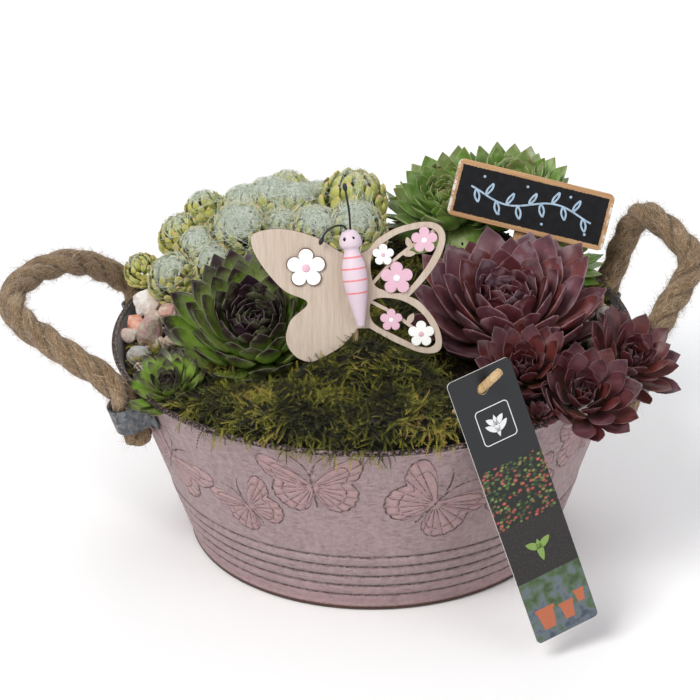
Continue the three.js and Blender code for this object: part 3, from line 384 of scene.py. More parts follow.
class Graph:
    """Adds and links the nodes of one material or node group."""

    def __init__(self, tree):
        self.tree = tree

    def add(self, kind, inputs=None, **settings):
        node = self.tree.nodes.new("ShaderNode" + kind)
        for key, value in settings.items():
            setattr(node, key, value)
        for key, value in (inputs or {}).items():
            self.feed(node.inputs[key], value)
        return node

    def take(self, kind, output, inputs=None, **settings):
        """One output of a new node."""
        return Signal(self, self.add(kind, inputs, **settings).outputs[output])

    def feed(self, socket, value):
        if isinstance(value, Signal):
            self.tree.links.new(value.socket, socket)
        else:
            socket.default_value = value

    def math(self, operation, *values, clamp=False):
        return self.take("Math", 0, dict(enumerate(values)), operation=operation, use_clamp=clamp)

    def most(self, *values):
        """The greatest of several signals."""
        best = values[0]
        for value in values[1:]:
            best = self.math("MAXIMUM", best, value)
        return best

    def mix(self, share, first, second, blend="MIX"):
        return self.take("Mix", 2, {0: share, 6: first, 7: second}, data_type="RGBA", blend_type=blend)

    def ramp(self, value, *stops):
        node = self.add("ValToRGB", {"Fac": value})
        elements = node.color_ramp.elements
        while len(elements) < len(stops):
            elements.new(0.5)
        for element, (position, *levels) in zip(elements, stops):
            element.position = position
            element.color = srgb(*levels)
        return Signal(self, node.outputs["Color"])

    def remap(self, value, low, high, to_low=0.0, to_high=1.0):
        return self.take("MapRange", "Result", {"Value": value, "From Min": low, "From Max": high,
                                                "To Min": to_low, "To Max": to_high},
                         interpolation_type="SMOOTHSTEP")

    def mapped(self, vector, **settings):
        return self.take("Mapping", "Vector", {"Vector": vector, **settings})

    def noise(self, vector, scale, detail=3.0, rough=0.5, stretch=None):
        if stretch:
            vector = self.mapped(vector, Scale=stretch)
        return self.take("TexNoise", "Fac", {"Vector": vector, "Scale": scale, "Detail": detail,
                                             "Roughness": rough})

    def attribute(self, name, output="Fac"):
        return self.take("Attribute", output, attribute_name=name)

    def metres(self):
        return self.take("TexCoord", "Object")

    def millimetres(self):
        return self.mapped(self.metres(), Scale=(1 / MM,) * 3)

    def split(self, vector):
        return [Signal(self, socket) for socket in self.add("SeparateXYZ", {"Vector": vector}).outputs]

    def vector(self, x, y):
        return self.take("CombineXYZ", 0, {"X": x, "Y": y, "Z": 0.0})

    def length(self, x, y):
        return self.take("VectorMath", "Value", {0: self.vector(x, y)}, operation="LENGTH")

    def first_channel(self, colour):
        return self.take("SeparateColor", 0, {"Color": colour})

    def bump(self, height, strength, distance):
        return self.take("Bump", "Normal", {"Height": height, "Strength": strength, "Distance": distance})

    def group(self, name, inputs):
        node = self.add("Group")
        node.node_tree = bpy.data.node_groups[name]
        for key, value in inputs.items():
            self.feed(node.inputs[key], value)
        return {socket.name: Signal(self, socket) for socket in node.outputs}

    def surface(self, **inputs):
        """Feeds the material's shader and gives the material."""
        for key, value in inputs.items():
            self.feed(self.shader.inputs[key.replace("_", " ")], value)
        return self.material


def new_group(name, inputs, outputs):
    """Starts a shader node group and gives its graph, its input signals and its output sockets."""
    tree = bpy.data.node_groups.new(name, "ShaderNodeTree")
    for key, value in inputs.items():
        kind = "Vector" if value is None else "Color" if isinstance(value, tuple) else "Float"
        socket = tree.interface.new_socket(key, in_out="INPUT", socket_type="NodeSocket" + kind)
        if value is not None:
            socket.default_value = value
    for key, kind in outputs.items():
        tree.interface.new_socket(key, in_out="OUTPUT", socket_type="NodeSocket" + kind)
    graph = Graph(tree)
    source = tree.nodes.new("NodeGroupInput")
    given = {key: Signal(graph, socket) for key, socket in zip(inputs, source.outputs)}
    return graph, given, tree.nodes.new("NodeGroupOutput").inputs


def wood_grain_group():
    """Fine grain lines that run along Z of the given coordinates, in millimetres."""
    graph, given, out = new_group(
        "wood grain",
        {"Vector": None, "Light": (0.7, 0.5, 0.3, 1), "Dark": (0.5, 0.3, 0.2, 1), "Spacing": 1.0},
        {"Color": "Color", "Height": "Float"})
    stretched = graph.mapped(given["Vector"], Scale=(1.0, 1.0, 0.045))
    scale = graph.math("DIVIDE", 1.0, given["Spacing"])
    lines = graph.remap(graph.noise(stretched, scale, 4.0, 0.65), 0.40, 0.66)
    broad = graph.remap(graph.noise(stretched, scale * 0.16, 2.0), 0.3, 0.7)
    mixed = graph.math("ADD", lines * 0.6, broad * 0.5, clamp=True)
    graph.feed(out["Color"], graph.mix(mixed, given["Light"], given["Dark"]))
    graph.feed(out["Height"], 1.0 - lines)


def leaf_tint_group():
    """Colours a leaf from its root to its tip, with a paler margin and waxy streaks."""
    leaf_green = (0.1, 0.2, 0.1, 1)
    graph, given, out = new_group(
        "leaf tint",
        {"Base": leaf_green, "Middle": leaf_green, "Tip": leaf_green, "Margin": (0.6, 0.6, 0.5, 1),
         "Tip Start": 0.7, "Streaks": 0.3, "Bloom": (0.7, 0.7, 0.7, 1)},
        {"Color": "Color", "Height": "Float", "Wax": "Float"})
    tint = graph.attribute("tint")
    where = graph.metres()
    mottle = graph.noise(where, 260.0, 3.0, 0.6)
    fine = graph.noise(where, 1500.0, 2.0, 0.6)
    shifted = graph.attribute("along") + (mottle - 0.5) * 0.35
    body = graph.mix(graph.remap(shifted, 0.05, 0.55), given["Base"], given["Middle"])
    tip_share = graph.remap(shifted, given["Tip Start"], given["Tip Start"] + 0.26)
    coloured = graph.mix(tip_share, body, given["Tip"])
    wax = graph.remap(graph.noise(where, 130.0, 2.0, 0.5), 0.46, 0.68) * given["Streaks"]
    coloured = graph.mix(wax, coloured, given["Bloom"])
    rim = graph.remap(graph.attribute("edge"), 0.93, 1.0) * 0.75
    coloured = graph.mix(rim, coloured, given["Margin"])
    graph.feed(out["Color"], graph.take("HueSaturation", "Color", {
        "Hue": graph.remap(tint, 0.0, 1.0, 0.485, 0.515),
        "Saturation": graph.remap(tint, 0.0, 1.0, 0.88, 1.1),
        "Value": graph.remap(graph.noise(where, 90.0, 2.0), 0.25, 0.75, 0.82, 1.16), "Color": coloured}))
    graph.feed(out["Height"], mottle + fine * 0.4)
    graph.feed(out["Wax"], wax)


def fibre_group():
    """Thin light and dark fibres along the first of the given coordinates."""
    graph, given, out = new_group(
        "fibres", {"Vector": None, "Light": (0.6, 0.5, 0.3, 1), "Middle": (0.4, 0.3, 0.2, 1),
                   "Dark": (0.2, 0.1, 0.05, 1)},
        {"Color": "Color", "Height": "Float"})
    long = graph.noise(given["Vector"], 1.0, 4.0, 0.65, stretch=(0.09, 1.6, 1.6))
    cross = graph.noise(given["Vector"], 1.0, 3.0, 0.6, stretch=(0.3, 3.4, 3.4))
    patches = graph.noise(given["Vector"], 0.05, 2.0)
    share = long * 0.62 + cross * 0.38 + (patches - 0.5) * 0.22
    colour = graph.mix(graph.remap(share, 0.40, 0.52), given["Dark"], given["Middle"])
    graph.feed(out["Color"], graph.mix(graph.remap(share, 0.5, 0.66), colour, given["Light"]))
    graph.feed(out["Height"], share)


def new_material(name, roughness, specular, sheen=0.0):
    """Starts a material and gives its graph."""
    material = bpy.data.materials.new(name)
    material.use_nodes = True
    graph = Graph(material.node_tree)
    graph.material = material
    graph.shader = graph.tree.nodes["Principled BSDF"]
    graph.surface(Roughness=roughness, Specular_IOR_Level=specular, Sheen_Weight=sheen)
    return graph


# The stage

class GARDEN_OT_stage(bpy.types.Operator):
    """Adds the floor, the studio lights and the camera"""
    bl_idname = "garden.stage"
    bl_label = "Stage"

    def execute(self, context):
        settings = context.scene.garden.stage
        self.add_camera(context, settings)
        self.add_floor(context, settings)
        self.add_lights(context)
        context.scene.view_settings.view_transform = "Standard"
        return {"FINISHED"}

    def add_camera(self, context, settings):
        """Stands the camera where the picture was taken from, a hair off level."""
        aim_height, yaw, pitch, roll = 0.054, -0.00874, -0.027, -0.01916
        lift = settings.elevation
        away = settings.distance
        place = Vector((0, -away * cos(lift), aim_height + away * sin(lift)))
        down = lift + pitch
        ahead = Vector((sin(yaw) * cos(down), cos(yaw) * cos(down), -sin(down)))
        level = Vector((cos(yaw), -sin(yaw), 0))
        above = level.cross(ahead)
        right = level * cos(roll) + above * sin(roll)
        up = above * cos(roll) - level * sin(roll)
        data = bpy.data.cameras.new("camera")
        data.lens = settings.lens
        data.sensor_width = 36
        camera = bpy.data.objects.new("camera", data)
        camera.matrix_world = Matrix((right, up, -ahead)).transposed().to_4x4()
        camera.matrix_world.translation = place
        context.scene.collection.objects.link(camera)
        context.scene.camera = camera

    def add_floor(self, context, settings):
        mesh = mesh_from(new_shape("grid", x_segments=1, y_segments=1, size=4.0), "floor")
        graph = new_material("pale floor", 0.85, 0.2)
        tone = graph.noise(graph.metres(), 3.0)
        mesh.materials.append(graph.surface(
            Base_Color=graph.mix(tone * 0.03, (*settings.floor, 1.0), (0.8, 0.8, 0.8, 1.0))))
        floor = bpy.data.objects.new("floor", mesh)
        context.scene.collection.objects.link(floor)

    def add_lights(self, context):
        aim = Vector((0, 0, 0.1))
        for name, place, size, power, colour in (
            ("key", (-0.9, -1.1, 1.7), 0.9, 30.0, (1.0, 0.985, 0.96)),
            ("fill", (1.3, -1.2, 0.9), 1.2, 9.0, (0.97, 0.98, 1.0)),
            ("back", (0.3, 1.4, 1.5), 1.0, 12.0, (1.0, 1.0, 1.0)),
        ):
            data = bpy.data.lights.new(name, "AREA")
            data.size = size
            data.energy = power
            data.color = colour
            light = bpy.data.objects.new(name, data)
            light.location = place
            light.rotation_euler = (Vector(place) - aim).to_track_quat("Z", "Y").to_euler()
            context.scene.collection.objects.link(light)
        world = bpy.data.worlds.new("studio")
        world.use_nodes = True
        background = world.node_tree.nodes["Background"]
        background.inputs["Color"].default_value = (0.95, 0.97, 1.0, 1.0)
        background.inputs["Strength"].default_value = 0.52
        context.scene.world = world


# Rope handles

LEFT_LOOP = (
    (-133.1, -65.2, 114.5), (-141, -63.5, 121.5), (-154.4, -59, 129), (-167.8, -50, 134.5),
    (-180, -39, 138), (-188, -26, 140.5), (-190.9, -11, 142), (-186.4, 5, 144), (-176, 20, 144.4),
    (-163.9, 34, 141.3), (-151.8, 47, 132.7), (-142.5, 57, 122.5), (-134.5, 62.7, 114.5),
)
RIGHT_LOOP = (
    (144.6, -33.4, 114.5), (149.4, -24.5, 123), (157.6, -11, 130.9), (165.2, -1, 137.8),
    (170.4, 8, 144.1), (170.2, 17, 149.8), (164.2, 27, 154.2), (156.4, 36, 158.6), (149.6, 45, 159.4),
    (145.4, 53, 153.4), (141, 59.5, 141.6), (136.6, 63.6, 126.5), (133.3, 65, 114.5),
)
EAR_AZIMUTHS = {"left_front": -154, "left_rear": 155, "right_front": -13, "right_rear": 26}
EAR_LEVEL = 101.5
EAR_HEIGHT = 15.0
EAR_STANDOFF = 1.1
EAR_BORE = 8.5
EAR_FLANGE = 17.0
ROPE_TAIL = 17.0
ROPE_RADIUS = 7.4
ROPE_OFFSET = EAR_STANDOFF + ROPE_RADIUS + 0.4


def wall_frame(azimuth, level):
    """A point on the wall with the directions up the wall and out of it, in millimetres."""
    angle = radians(azimuth)
    radial = Vector((cos(angle), sin(angle), 0))
    up = radial * sin(WALL_LEAN) + Vector((0, 0, cos(WALL_LEAN)))
    out = radial * cos(WALL_LEAN) - Vector((0, 0, sin(WALL_LEAN)))
    return radial * wall_radius(level) + Vector((0, 0, level)), up, out


def rope_route(first, loop, last):
    """The rope's points in millimetres, from the tail under one ear to the tail under the other."""
    def tail(azimuth):
        origin, up, out = wall_frame(azimuth, EAR_LEVEL)
        return [origin + out * ROPE_OFFSET + up * along for along in (-ROPE_TAIL, 0, EAR_HEIGHT / 2)]
    return [*tail(first), *(Vector(point) for point in loop), *reversed(tail(last))]


def jute_material():
    graph = new_material("jute", 0.95, 0.15, 0.25)
    fibres = graph.group("fibres", {
        "Vector": graph.attribute("rope_place", "Vector"), "Light": srgb(184, 160, 128),
        "Middle": srgb(142, 116, 88), "Dark": srgb(84, 64, 46)})
    # Painted shade: the colour is multiplied down to 0.4 in the grooves between the strands.
    shade = graph.remap(graph.attribute("groove"), 0.0, 1.0, 1.0, 0.4)
    grey = graph.take("CombineColor", "Color", {"Red": shade, "Green": shade, "Blue": shade})
    return graph.surface(Base_Color=graph.mix(1.0, fibres["Color"], grey, "MULTIPLY"),
                         Normal=graph.bump(fibres["Height"], 0.9, 0.0012))


def loose_fibre_material():
    graph = new_material("loose jute fibre", 0.9, 0.2)
    return graph.surface(Base_Color=graph.ramp(
        graph.attribute("tint"), (0.0, 104, 82, 60), (0.4, 146, 120, 92), (0.75, 182, 158, 128),
        (1.0, 212, 194, 166)))


class GARDEN_OT_ropes(bpy.types.Operator):
    """Lays the two jute rope handles with their loose fibres"""
    bl_idname = "garden.ropes"
    bl_label = "Rope handles"

    strands = 3
    strand_radius = 4.9
    strand_offset = 2.5
    yarns = 7
    step = 1.1
    sides = 54

    def execute(self, context):
        settings = context.scene.garden.rope
        jute = jute_material()
        loose = loose_fibre_material()
        for side, loop in (("left", LEFT_LOOP), ("right", RIGHT_LOOP)):
            route = rope_route(EAR_AZIMUTHS[side + "_front"], loop, EAR_AZIMUTHS[side + "_rear"])
            self.add_rope(side, route, settings, jute, loose)
        return {"FINISHED"}

    def profile(self, angle, distance, lay):
        """The rope's radius, groove depth and strand angle at an angle round it, in millimetres."""
        turned = (angle - FULL_TURN * distance / lay) % (FULL_TURN / self.strands)
        alpha = turned - pi / self.strands
        radius = self.strand_offset * cos(alpha) + math.sqrt(
            self.strand_radius ** 2 - (self.strand_offset * sin(alpha)) ** 2)
        strand_angle = math.atan2(radius * sin(alpha), radius * cos(alpha) - self.strand_offset)
        yarn = abs(sin(self.yarns * strand_angle / 2 + pi * distance / 9.0))
        depth = (abs(alpha) / (pi / self.strands)) ** 5
        return radius - 0.35 * (1 - yarn) ** 2, depth, strand_angle

    def add_rope(self, side, route, settings, jute, loose):
        path, length = smooth_path(route, self.step)
        lay = settings.lay / MM
        flare = 1.0 + 0.10 * np.exp(-np.arange(len(path)) / 3.0)
        ends = np.maximum(flare, flare[::-1])
        spots = np.linspace(0, length, len(path))
        mesh = tube_mesh(f"rope_{side}_jute", path, lambda angle, distance: (
            self.profile(angle, distance, lay)[0] * np.interp(distance, spots, ends)), self.sides)
        points = points_of(mesh)
        across, up, _ = frames_along(path)
        nearest = np.array([np.argmin(((path - point) ** 2).sum(axis=1)) for point in points])
        offset = points - path[nearest]
        angles = np.arctan2((offset * up[nearest]).sum(axis=1), (offset * across[nearest]).sum(axis=1))
        details = [self.profile(angle, spots[i], lay) for angle, i in zip(angles, nearest)]
        store(mesh, "groove", [depth for _, depth, _ in details])
        place = np.stack([spots[nearest], self.strand_radius * np.array([a for _, _, a in details])
                          + 2.0 * np.sin(spots[nearest] / 9.0), angles * 2.0], axis=1)
        store_vectors(mesh, "rope_place", place)
        mesh.transform(SCALE_DOWN)
        rope = add_piece(f"rope_{side}_jute", mesh, [jute], [f"rope_{side}"])
        hairs = self.add_fibres(side, path, spots, lay, settings.fibres, loose)

    def add_fibres(self, side, path, spots, lay, count, material):
        """Short hairs that lie on the rope and lift off it a little."""
        rng = np.random.default_rng(11 if side == "left" else 12)
        blade = Template(new_shape("grid", x_segments=1, y_segments=4, size=0.5))
        across, up, ahead = frames_along(path)
        hairs = Heap(blade)
        for _ in range(count):
            i = rng.integers(2, len(path) - 2)
            angle = rng.uniform(0, FULL_TURN)
            out = cos(angle) * across[i] + sin(angle) * up[i]
            side_way = -sin(angle) * across[i] + cos(angle) * up[i]
            heading = ahead[i] * rng.choice((-1, 1)) + side_way * rng.uniform(-0.9, 0.9)
            heading = heading + out * rng.uniform(-0.1, 0.5)
            heading /= np.linalg.norm(heading)
            reach = rng.uniform(2.5, 6.5) + 9.0 * rng.uniform() ** 4
            width = rng.uniform(0.13, 0.28)
            s = (blade.points[:, 1] + 0.5)[:, None]
            flat = np.cross(heading, out)
            rise = rng.uniform(-0.15, 0.5) * reach
            skin = self.profile(angle, spots[i], lay)[0] - 0.25
            hairs.add(path[i] + out * skin + heading * reach * (s - 0.3) + out * rise * (s ** 2)
                      + flat * width * blade.points[:, :1] * (1 - 0.8 * s), tint=rng.uniform())
        name = f"rope_{side}_fibres"
        return add_piece(name, hairs.mesh(name), [material])


# The zinc tub

RELIEF_REPEATS = 5
RELIEF_TURN = 360 / RELIEF_REPEATS
RELIEF_KINDS = (
    {"azimuth": -104, "level": 88, "turn": 4, "size": 1.0},
    {"azimuth": -122, "level": 65, "turn": 32, "size": 0.82},
    {"azimuth": -76, "level": 75, "turn": -38, "size": 1.08},
)
WING_SPAN = 32.0
# How far a wing's edge is from the butterfly's middle, as shares of its span, by direction from straight down
WING_EDGE = ((0, 0.08), (9.5, 0.19), (14, 0.39), (25, 0.59), (42.3, 0.70), (64.5, 0.73), (84.8, 0.69),
             (95.7, 0.63), (104.6, 0.745), (116.6, 0.91), (126, 0.985), (136.6, 0.775), (142, 0.51),
             (153, 0.14), (165, 0.1), (180, 0.08))
WING_VEINS = (24, 38, 53, 69, 85, 104, 114, 123)


def relief_depth(azimuth, level):
    """How much a point of the wall is raised, from 0 to 1, from arrays of degrees and millimetres."""
    raised = np.zeros_like(level)
    for kind in RELIEF_KINDS:
        across = (azimuth - kind["azimuth"] + RELIEF_TURN / 2) % RELIEF_TURN - RELIEF_TURN / 2
        across = np.radians(across) * wall_radius(kind["level"]) / kind["size"]
        up = (level - kind["level"]) / cos(WALL_LEAN) / kind["size"]
        turn = radians(kind["turn"])
        u = across * cos(turn) + up * sin(turn)
        v = up * cos(turn) - across * sin(turn)
        direction = np.degrees(np.arctan2(np.abs(u), -v))
        edge = np.interp(direction, *zip(*WING_EDGE)) * WING_SPAN
        inside = np.clip((edge - np.hypot(u, v)) / 1.6, 0, 1)
        body = np.clip((1.6 - np.abs(u)) / 1.0, 0, 1) * (np.abs(v + 3) < 15)
        raised = np.maximum(raised, np.maximum(inside, body))
    return raised


def tub_wall_material(settings):
    graph = new_material("pink zinc", 0.55, 0.35)
    where = graph.millimetres()
    x, y, level = graph.split(where)
    radius = graph.length(x, y)
    azimuth = graph.math("ARCTAN2", y, x)
    flat = graph.vector(azimuth * TUB_TOP_RADIUS, level)
    line, field, groove = butterfly_lines(graph, azimuth, level)
    worn = graph.noise(where, 0.35, 5.0, 0.7)
    speck = graph.noise(where, 1.6, 3.0, 0.7)
    patches = graph.noise(flat, 0.045, 2.0)
    high = graph.remap(level, 60.0, 108.0, 0.0, 0.35)

    def scratches(stretch, low, high_end, patch_range):
        fine = graph.remap(graph.noise(flat, 1.0, 3.0, 0.75, stretch=stretch), low, high_end)
        return fine * graph.math("ADD", graph.remap(patches, *patch_range), high, clamp=True)
    rubbed = graph.most(scratches((0.13, 4.6, 1.0), 0.55, 0.66, (0.3, 0.62, 0.15, 1.0)),
                        scratches((4.6, 0.12, 1.0), 0.56, 0.68, (0.66, 0.4, 0.0, 0.3)))
    rib = abs(graph.math("MODULO", level - (RIB_LEVELS[0] - RIB_STEP / 2), RIB_STEP) - RIB_STEP / 2)
    broken = graph.remap(graph.noise(flat, 1.0, 3.0, 0.7, stretch=(0.22, 0.9, 1.0)), 0.40, 0.56, 0.25, 1.0)
    rib_line = graph.remap(rib - (speck - 0.5) * 3.0, 0.95, 0.3) * broken
    rib_line = rib_line * (graph.remap(level, 43.0, 42.0) * graph.remap(level, 5.0, 6.0))
    foot_line = graph.remap(level + speck * 2.0, 4.2, 3.0)
    ragged_line = line * graph.remap(graph.noise(where, 0.45, 4.0, 0.8), 0.40, 0.58, 0.15, 1.0)
    dark = graph.most(rib_line, foot_line, ragged_line, rubbed * 0.7)
    base = graph.mix(graph.remap(worn, 0.35, 0.7), (*settings.paint, 1), srgb(150, 127, 129))
    base = graph.mix(field * graph.remap(worn, 0.35, 0.6, 0.15, 0.75), base, (*settings.wing, 1))
    base = graph.mix(graph.remap(level, 22.0, 6.0) * 0.4, base, srgb(176, 142, 142))
    colour = graph.mix(dark, base, (*settings.wear, 1))
    bead_noise = graph.remap(graph.noise(where, 0.8, 4.0, 0.75), 0.48, 0.60)
    inner_lip = graph.mix(bead_noise, srgb(84, 78, 77), srgb(160, 150, 148))
    outer_lip = graph.mix(bead_noise, srgb(44, 34, 32), srgb(150, 130, 128))
    lip = graph.mix(graph.remap(radius, RIM_RADIUS - 2.3, RIM_RADIUS - 1.7), inner_lip, outer_lip)
    bead = graph.remap(level, 112.0, 112.6)
    inner = graph.remap(radius - (level * WALL_SLOPE + TUB_BASE_RADIUS), -0.5, -0.9)
    inner = inner * graph.remap(level, 113.4, 113.0)
    zinc = graph.mix(worn, srgb(116, 117, 120), srgb(168, 169, 170))
    return graph.surface(
        Base_Color=graph.mix(inner, graph.mix(bead, colour, lip), zinc),
        Metallic=graph.most(bead, inner) * 0.6, Roughness=graph.remap(worn, 0.3, 0.7, 0.46, 0.62),
        Normal=graph.bump(worn * 0.15 - dark * 0.5 - groove * 1.2, 0.8, 0.0009))


def butterfly_lines(graph, azimuth, level):
    """Masks of the embossed butterflies' lines, wing fields and hollows along the veins."""
    turn_angle = radians(RELIEF_TURN)
    masks = []
    for kind in RELIEF_KINDS:
        shifted = azimuth + (radians(-kind["azimuth"]) + turn_angle / 2 + 4 * pi)
        across = graph.math("MODULO", shifted, turn_angle) - turn_angle / 2
        across = across * (wall_radius(kind["level"]) / kind["size"])
        up = (level - kind["level"]) * (1 / cos(WALL_LEAN) / kind["size"])
        turned = graph.take("VectorRotate", 0, {
            "Vector": graph.vector(across, up), "Angle": radians(-kind["turn"])}, rotation_type="Z_AXIS")
        u, v, _ = graph.split(turned)
        masks.append(graph.group("butterfly", {"U": u, "V": v}))
    return [graph.most(*(mask[key] for mask in masks)) for key in ("Line", "Field", "Groove")]


def butterfly_group():
    """Lines, wing field and hollows of one butterfly, from a place in its own plane in millimetres."""
    graph, given, out = new_group(
        "butterfly", {"U": 0.0, "V": 0.0}, {"Line": "Float", "Field": "Float", "Groove": "Float"})
    side = abs(given["U"])
    upward = given["V"]
    reach = graph.length(side, upward)
    direction = graph.math("DIVIDE", graph.math("ARCTAN2", side, upward * -1.0), pi)
    edge_curve = graph.add("FloatCurve", {"Value": direction})
    points = edge_curve.mapping.curves[0].points
    while len(points) < len(WING_EDGE):
        points.new(0.5, 0.5)
    for point, (degrees, share) in zip(points, WING_EDGE):
        point.location = (degrees / 180, share)
    edge_curve.mapping.update()
    scallop = abs(graph.math("SINE", direction * 46.0)) * 0.8
    edge = Signal(graph, edge_curve.outputs[0]) * WING_SPAN + scallop
    inward = edge - reach
    from_margin = abs(reach - edge * 0.74)
    inside = graph.remap(inward, 0.0, 0.4)
    from_veins = [abs(direction - degrees / 180) * pi * reach for degrees in WING_VEINS]
    margin = graph.remap(from_margin, 0.5, 0.1)
    veins = graph.most(margin, *(graph.remap(apart, 0.42, 0.08) for apart in from_veins))
    hollow = graph.most(*(graph.remap(apart, 1.8, 0.0) for apart in (from_margin, *from_veins)))
    wings = veins * inside * graph.remap(reach, 2.0, 4.0)
    body = graph.remap(side, 0.9, 0.4) * graph.remap(abs(upward + 2.0), 13.0, 12.0)
    above = upward - 9.0
    feeler = graph.remap(abs(side - (above * above * 0.045 + 1.2)), 0.8, 0.3)
    feeler = feeler * (graph.remap(above, -0.5, 0.5) * graph.remap(above, 13.5, 12.5))
    outline = graph.remap(abs(inward), 0.75, 0.2) * graph.remap(reach, 4.5, 6.0)
    graph.feed(out["Line"], graph.most(wings, outline, body, feeler))
    graph.feed(out["Field"], inside)
    graph.feed(out["Groove"], graph.most(hollow * inside, outline))


class GARDEN_OT_tub(bpy.types.Operator):
    """Spins the zinc tub and presses its butterflies"""
    bl_idname = "garden.tub"
    bl_label = "Zinc tub"

    turns = 640
    fine_step = 1.15
    wall_top = 110.6
    relief_levels = (42, 110)

    def profile(self):
        """The wall's section from the middle of the underside round to the middle of the floor."""
        points = [(0, 0), (60, 0), (TUB_BASE_RADIUS - 0.6, 0), (TUB_BASE_RADIUS + 1.3, 0.5),
                  (TUB_BASE_RADIUS + 1.9, 1.6), (TUB_BASE_RADIUS + 1.7, 3.2)]
        level = 5.0
        while level < RIB_LEVELS[-1] + RIB_STEP / 2:
            share = ((level - RIB_LEVELS[0]) / RIB_STEP) % 1
            swell = RIB_CROWN * sin(pi * share) ** 0.8
            swell -= RIB_GROOVE * max(0, 1 - 4 * min(share, 1 - share))
            inside = RIB_LEVELS[0] - 1 <= level <= RIB_LEVELS[-1] + 1
            points.append((wall_radius(level) + (swell if inside else 0), level))
            level += RIB_STEP / 10
        while level < self.wall_top:
            points.append((wall_radius(level), level))
            level += self.fine_step
        middle = (RIM_RADIUS - RIM_BEAD_RADIUS, TUB_HEIGHT - RIM_BEAD_RADIUS)
        for degrees in range(-70, 200, 30):
            angle = radians(degrees)
            points.append((middle[0] + RIM_BEAD_RADIUS * cos(angle),
                           middle[1] + RIM_BEAD_RADIUS * sin(angle)))
        inside = ((110, 0), (80, 0), (40, RIB_GROOVE), (SHEET, RIB_GROOVE))
        points += [(wall_radius(level) - SHEET - inset, level) for level, inset in inside]
        points.append((0, SHEET))
        return points

    def execute(self, context):
        settings = context.scene.garden.tub
        mesh = mesh_from(spun(self.profile(), self.turns), "zinc_tub", turn_out=True)
        points = points_of(mesh)
        azimuth = np.degrees(np.arctan2(points[:, 1], points[:, 0]))
        radial = np.hypot(points[:, 0], points[:, 1])
        low, high = self.relief_levels
        outside = (radial > wall_radius(points[:, 2]) - 0.1) & (points[:, 2] > low) & (points[:, 2] < high)
        raised = relief_depth(azimuth, points[:, 2]) * outside * settings.relief / MM
        stretch = (radial + raised) / np.maximum(radial, 1e-6)
        points[:, 0] *= stretch
        points[:, 1] *= stretch
        move_points(mesh, points * MM)
        add_piece("zinc_tub", mesh, [tub_wall_material(settings)], ["tub"])
        return {"FINISHED"}


# Rope ears

def galvanised_material():
    graph = new_material("galvanised sheet", 0.5, 0.5)
    where = graph.millimetres()
    tone = graph.first_channel(graph.take("TexVoronoi", "Color", {"Vector": where, "Scale": 0.45}))
    stain = graph.noise(where, 0.22, 4.0, 0.65)
    grey = graph.mix(tone, srgb(78, 81, 86), srgb(122, 124, 127))
    return graph.surface(
        Base_Color=graph.mix(graph.remap(stain, 0.5, 0.7) * 0.6, grey, srgb(62, 58, 60)),
        Metallic=graph.remap(stain, 0.4, 0.7, 0.7, 0.4), Normal=graph.bump(stain, 0.3, 0.0004))


class GARDEN_OT_ears(bpy.types.Operator):
    """Folds the four sheet-metal sleeves that hold the rope's ends"""
    bl_idname = "garden.ears"
    bl_label = "Rope ears"

    arc_steps = 14

    def execute(self, context):
        material = galvanised_material()
        for place, azimuth in EAR_AZIMUTHS.items():
            self.add_ear(place, azimuth, material)
        return {"FINISHED"}

    def add_ear(self, place, azimuth, material):
        origin, up, out = wall_frame(azimuth, EAR_LEVEL)
        across = up.cross(out)
        inner = EAR_STANDOFF
        outer = EAR_STANDOFF + SHEET
        shell = EAR_BORE + SHEET

        def arc(radius, start, end):
            angles = np.radians(np.linspace(start, end, self.arc_steps + 1))
            return [(radius * cos(a), ROPE_OFFSET + radius * sin(a)) for a in angles]
        outline = [(-EAR_FLANGE, outer), (-shell, outer), *arc(shell, 180, 0), (shell, outer),
                   (EAR_FLANGE, outer), (EAR_FLANGE, inner), (EAR_BORE, inner), *arc(EAR_BORE, 0, 180),
                   (-EAR_BORE, inner), (-EAR_FLANGE, inner)]
        fitted = [(t, n - t * t / (2 * wall_radius(EAR_LEVEL))) for t, n in outline]
        matrix = plane_frame(origin, across, out)
        meshes = [plate_mesh([fitted], -EAR_HEIGHT / 2, EAR_HEIGHT / 2, matrix, bevel=0.18)]
        for t in (-1, 1):
            spot = origin + across * t * (EAR_FLANGE + shell) / 2 + out * (outer - 0.3)
            bm = new_shape("uvsphere", u_segments=14, v_segments=8, radius=2.0)
            bmesh.ops.scale(bm, vec=(1, 1, 0.55), verts=bm.verts)
            turn = out.to_track_quat("Z", "Y").to_matrix().to_4x4()
            turn.translation = spot
            bmesh.ops.transform(bm, matrix=SCALE_DOWN @ turn, verts=bm.verts)
            meshes.append(mesh_from(bm, "rivet"))
        mesh = joined(f"ear_{place}_sheet", meshes)
        add_piece(f"ear_{place}_sheet", mesh, [material], [f"ear_{place}"])


# Potting mix

MOUNDS = ((-60, 74, 22, 38), (-12, 66, 15, 23), (62, 78, 28, 33), (74, -16, 2, 34), (0, -80, 5, 34))


def soil_height(x, y):
    """The top of the potting mix in millimetres."""
    rim = min(1.0, hypot(x, y) / 134)
    fade = 1 - rim ** 14
    swell = sum(height * math.exp(-((x - mx) ** 2 + (y - my) ** 2) / (2 * spread * spread))
                for mx, my, height, spread in MOUNDS)
    return SOIL_EDGE + 5 * (1 - rim * rim) + swell * fade


def rough(x, y, z, scale, seed=0):
    """Smooth noise about -1 to 1 at a place in millimetres."""
    return noise.noise(Vector((x / scale + seed, y / scale, z / scale)))


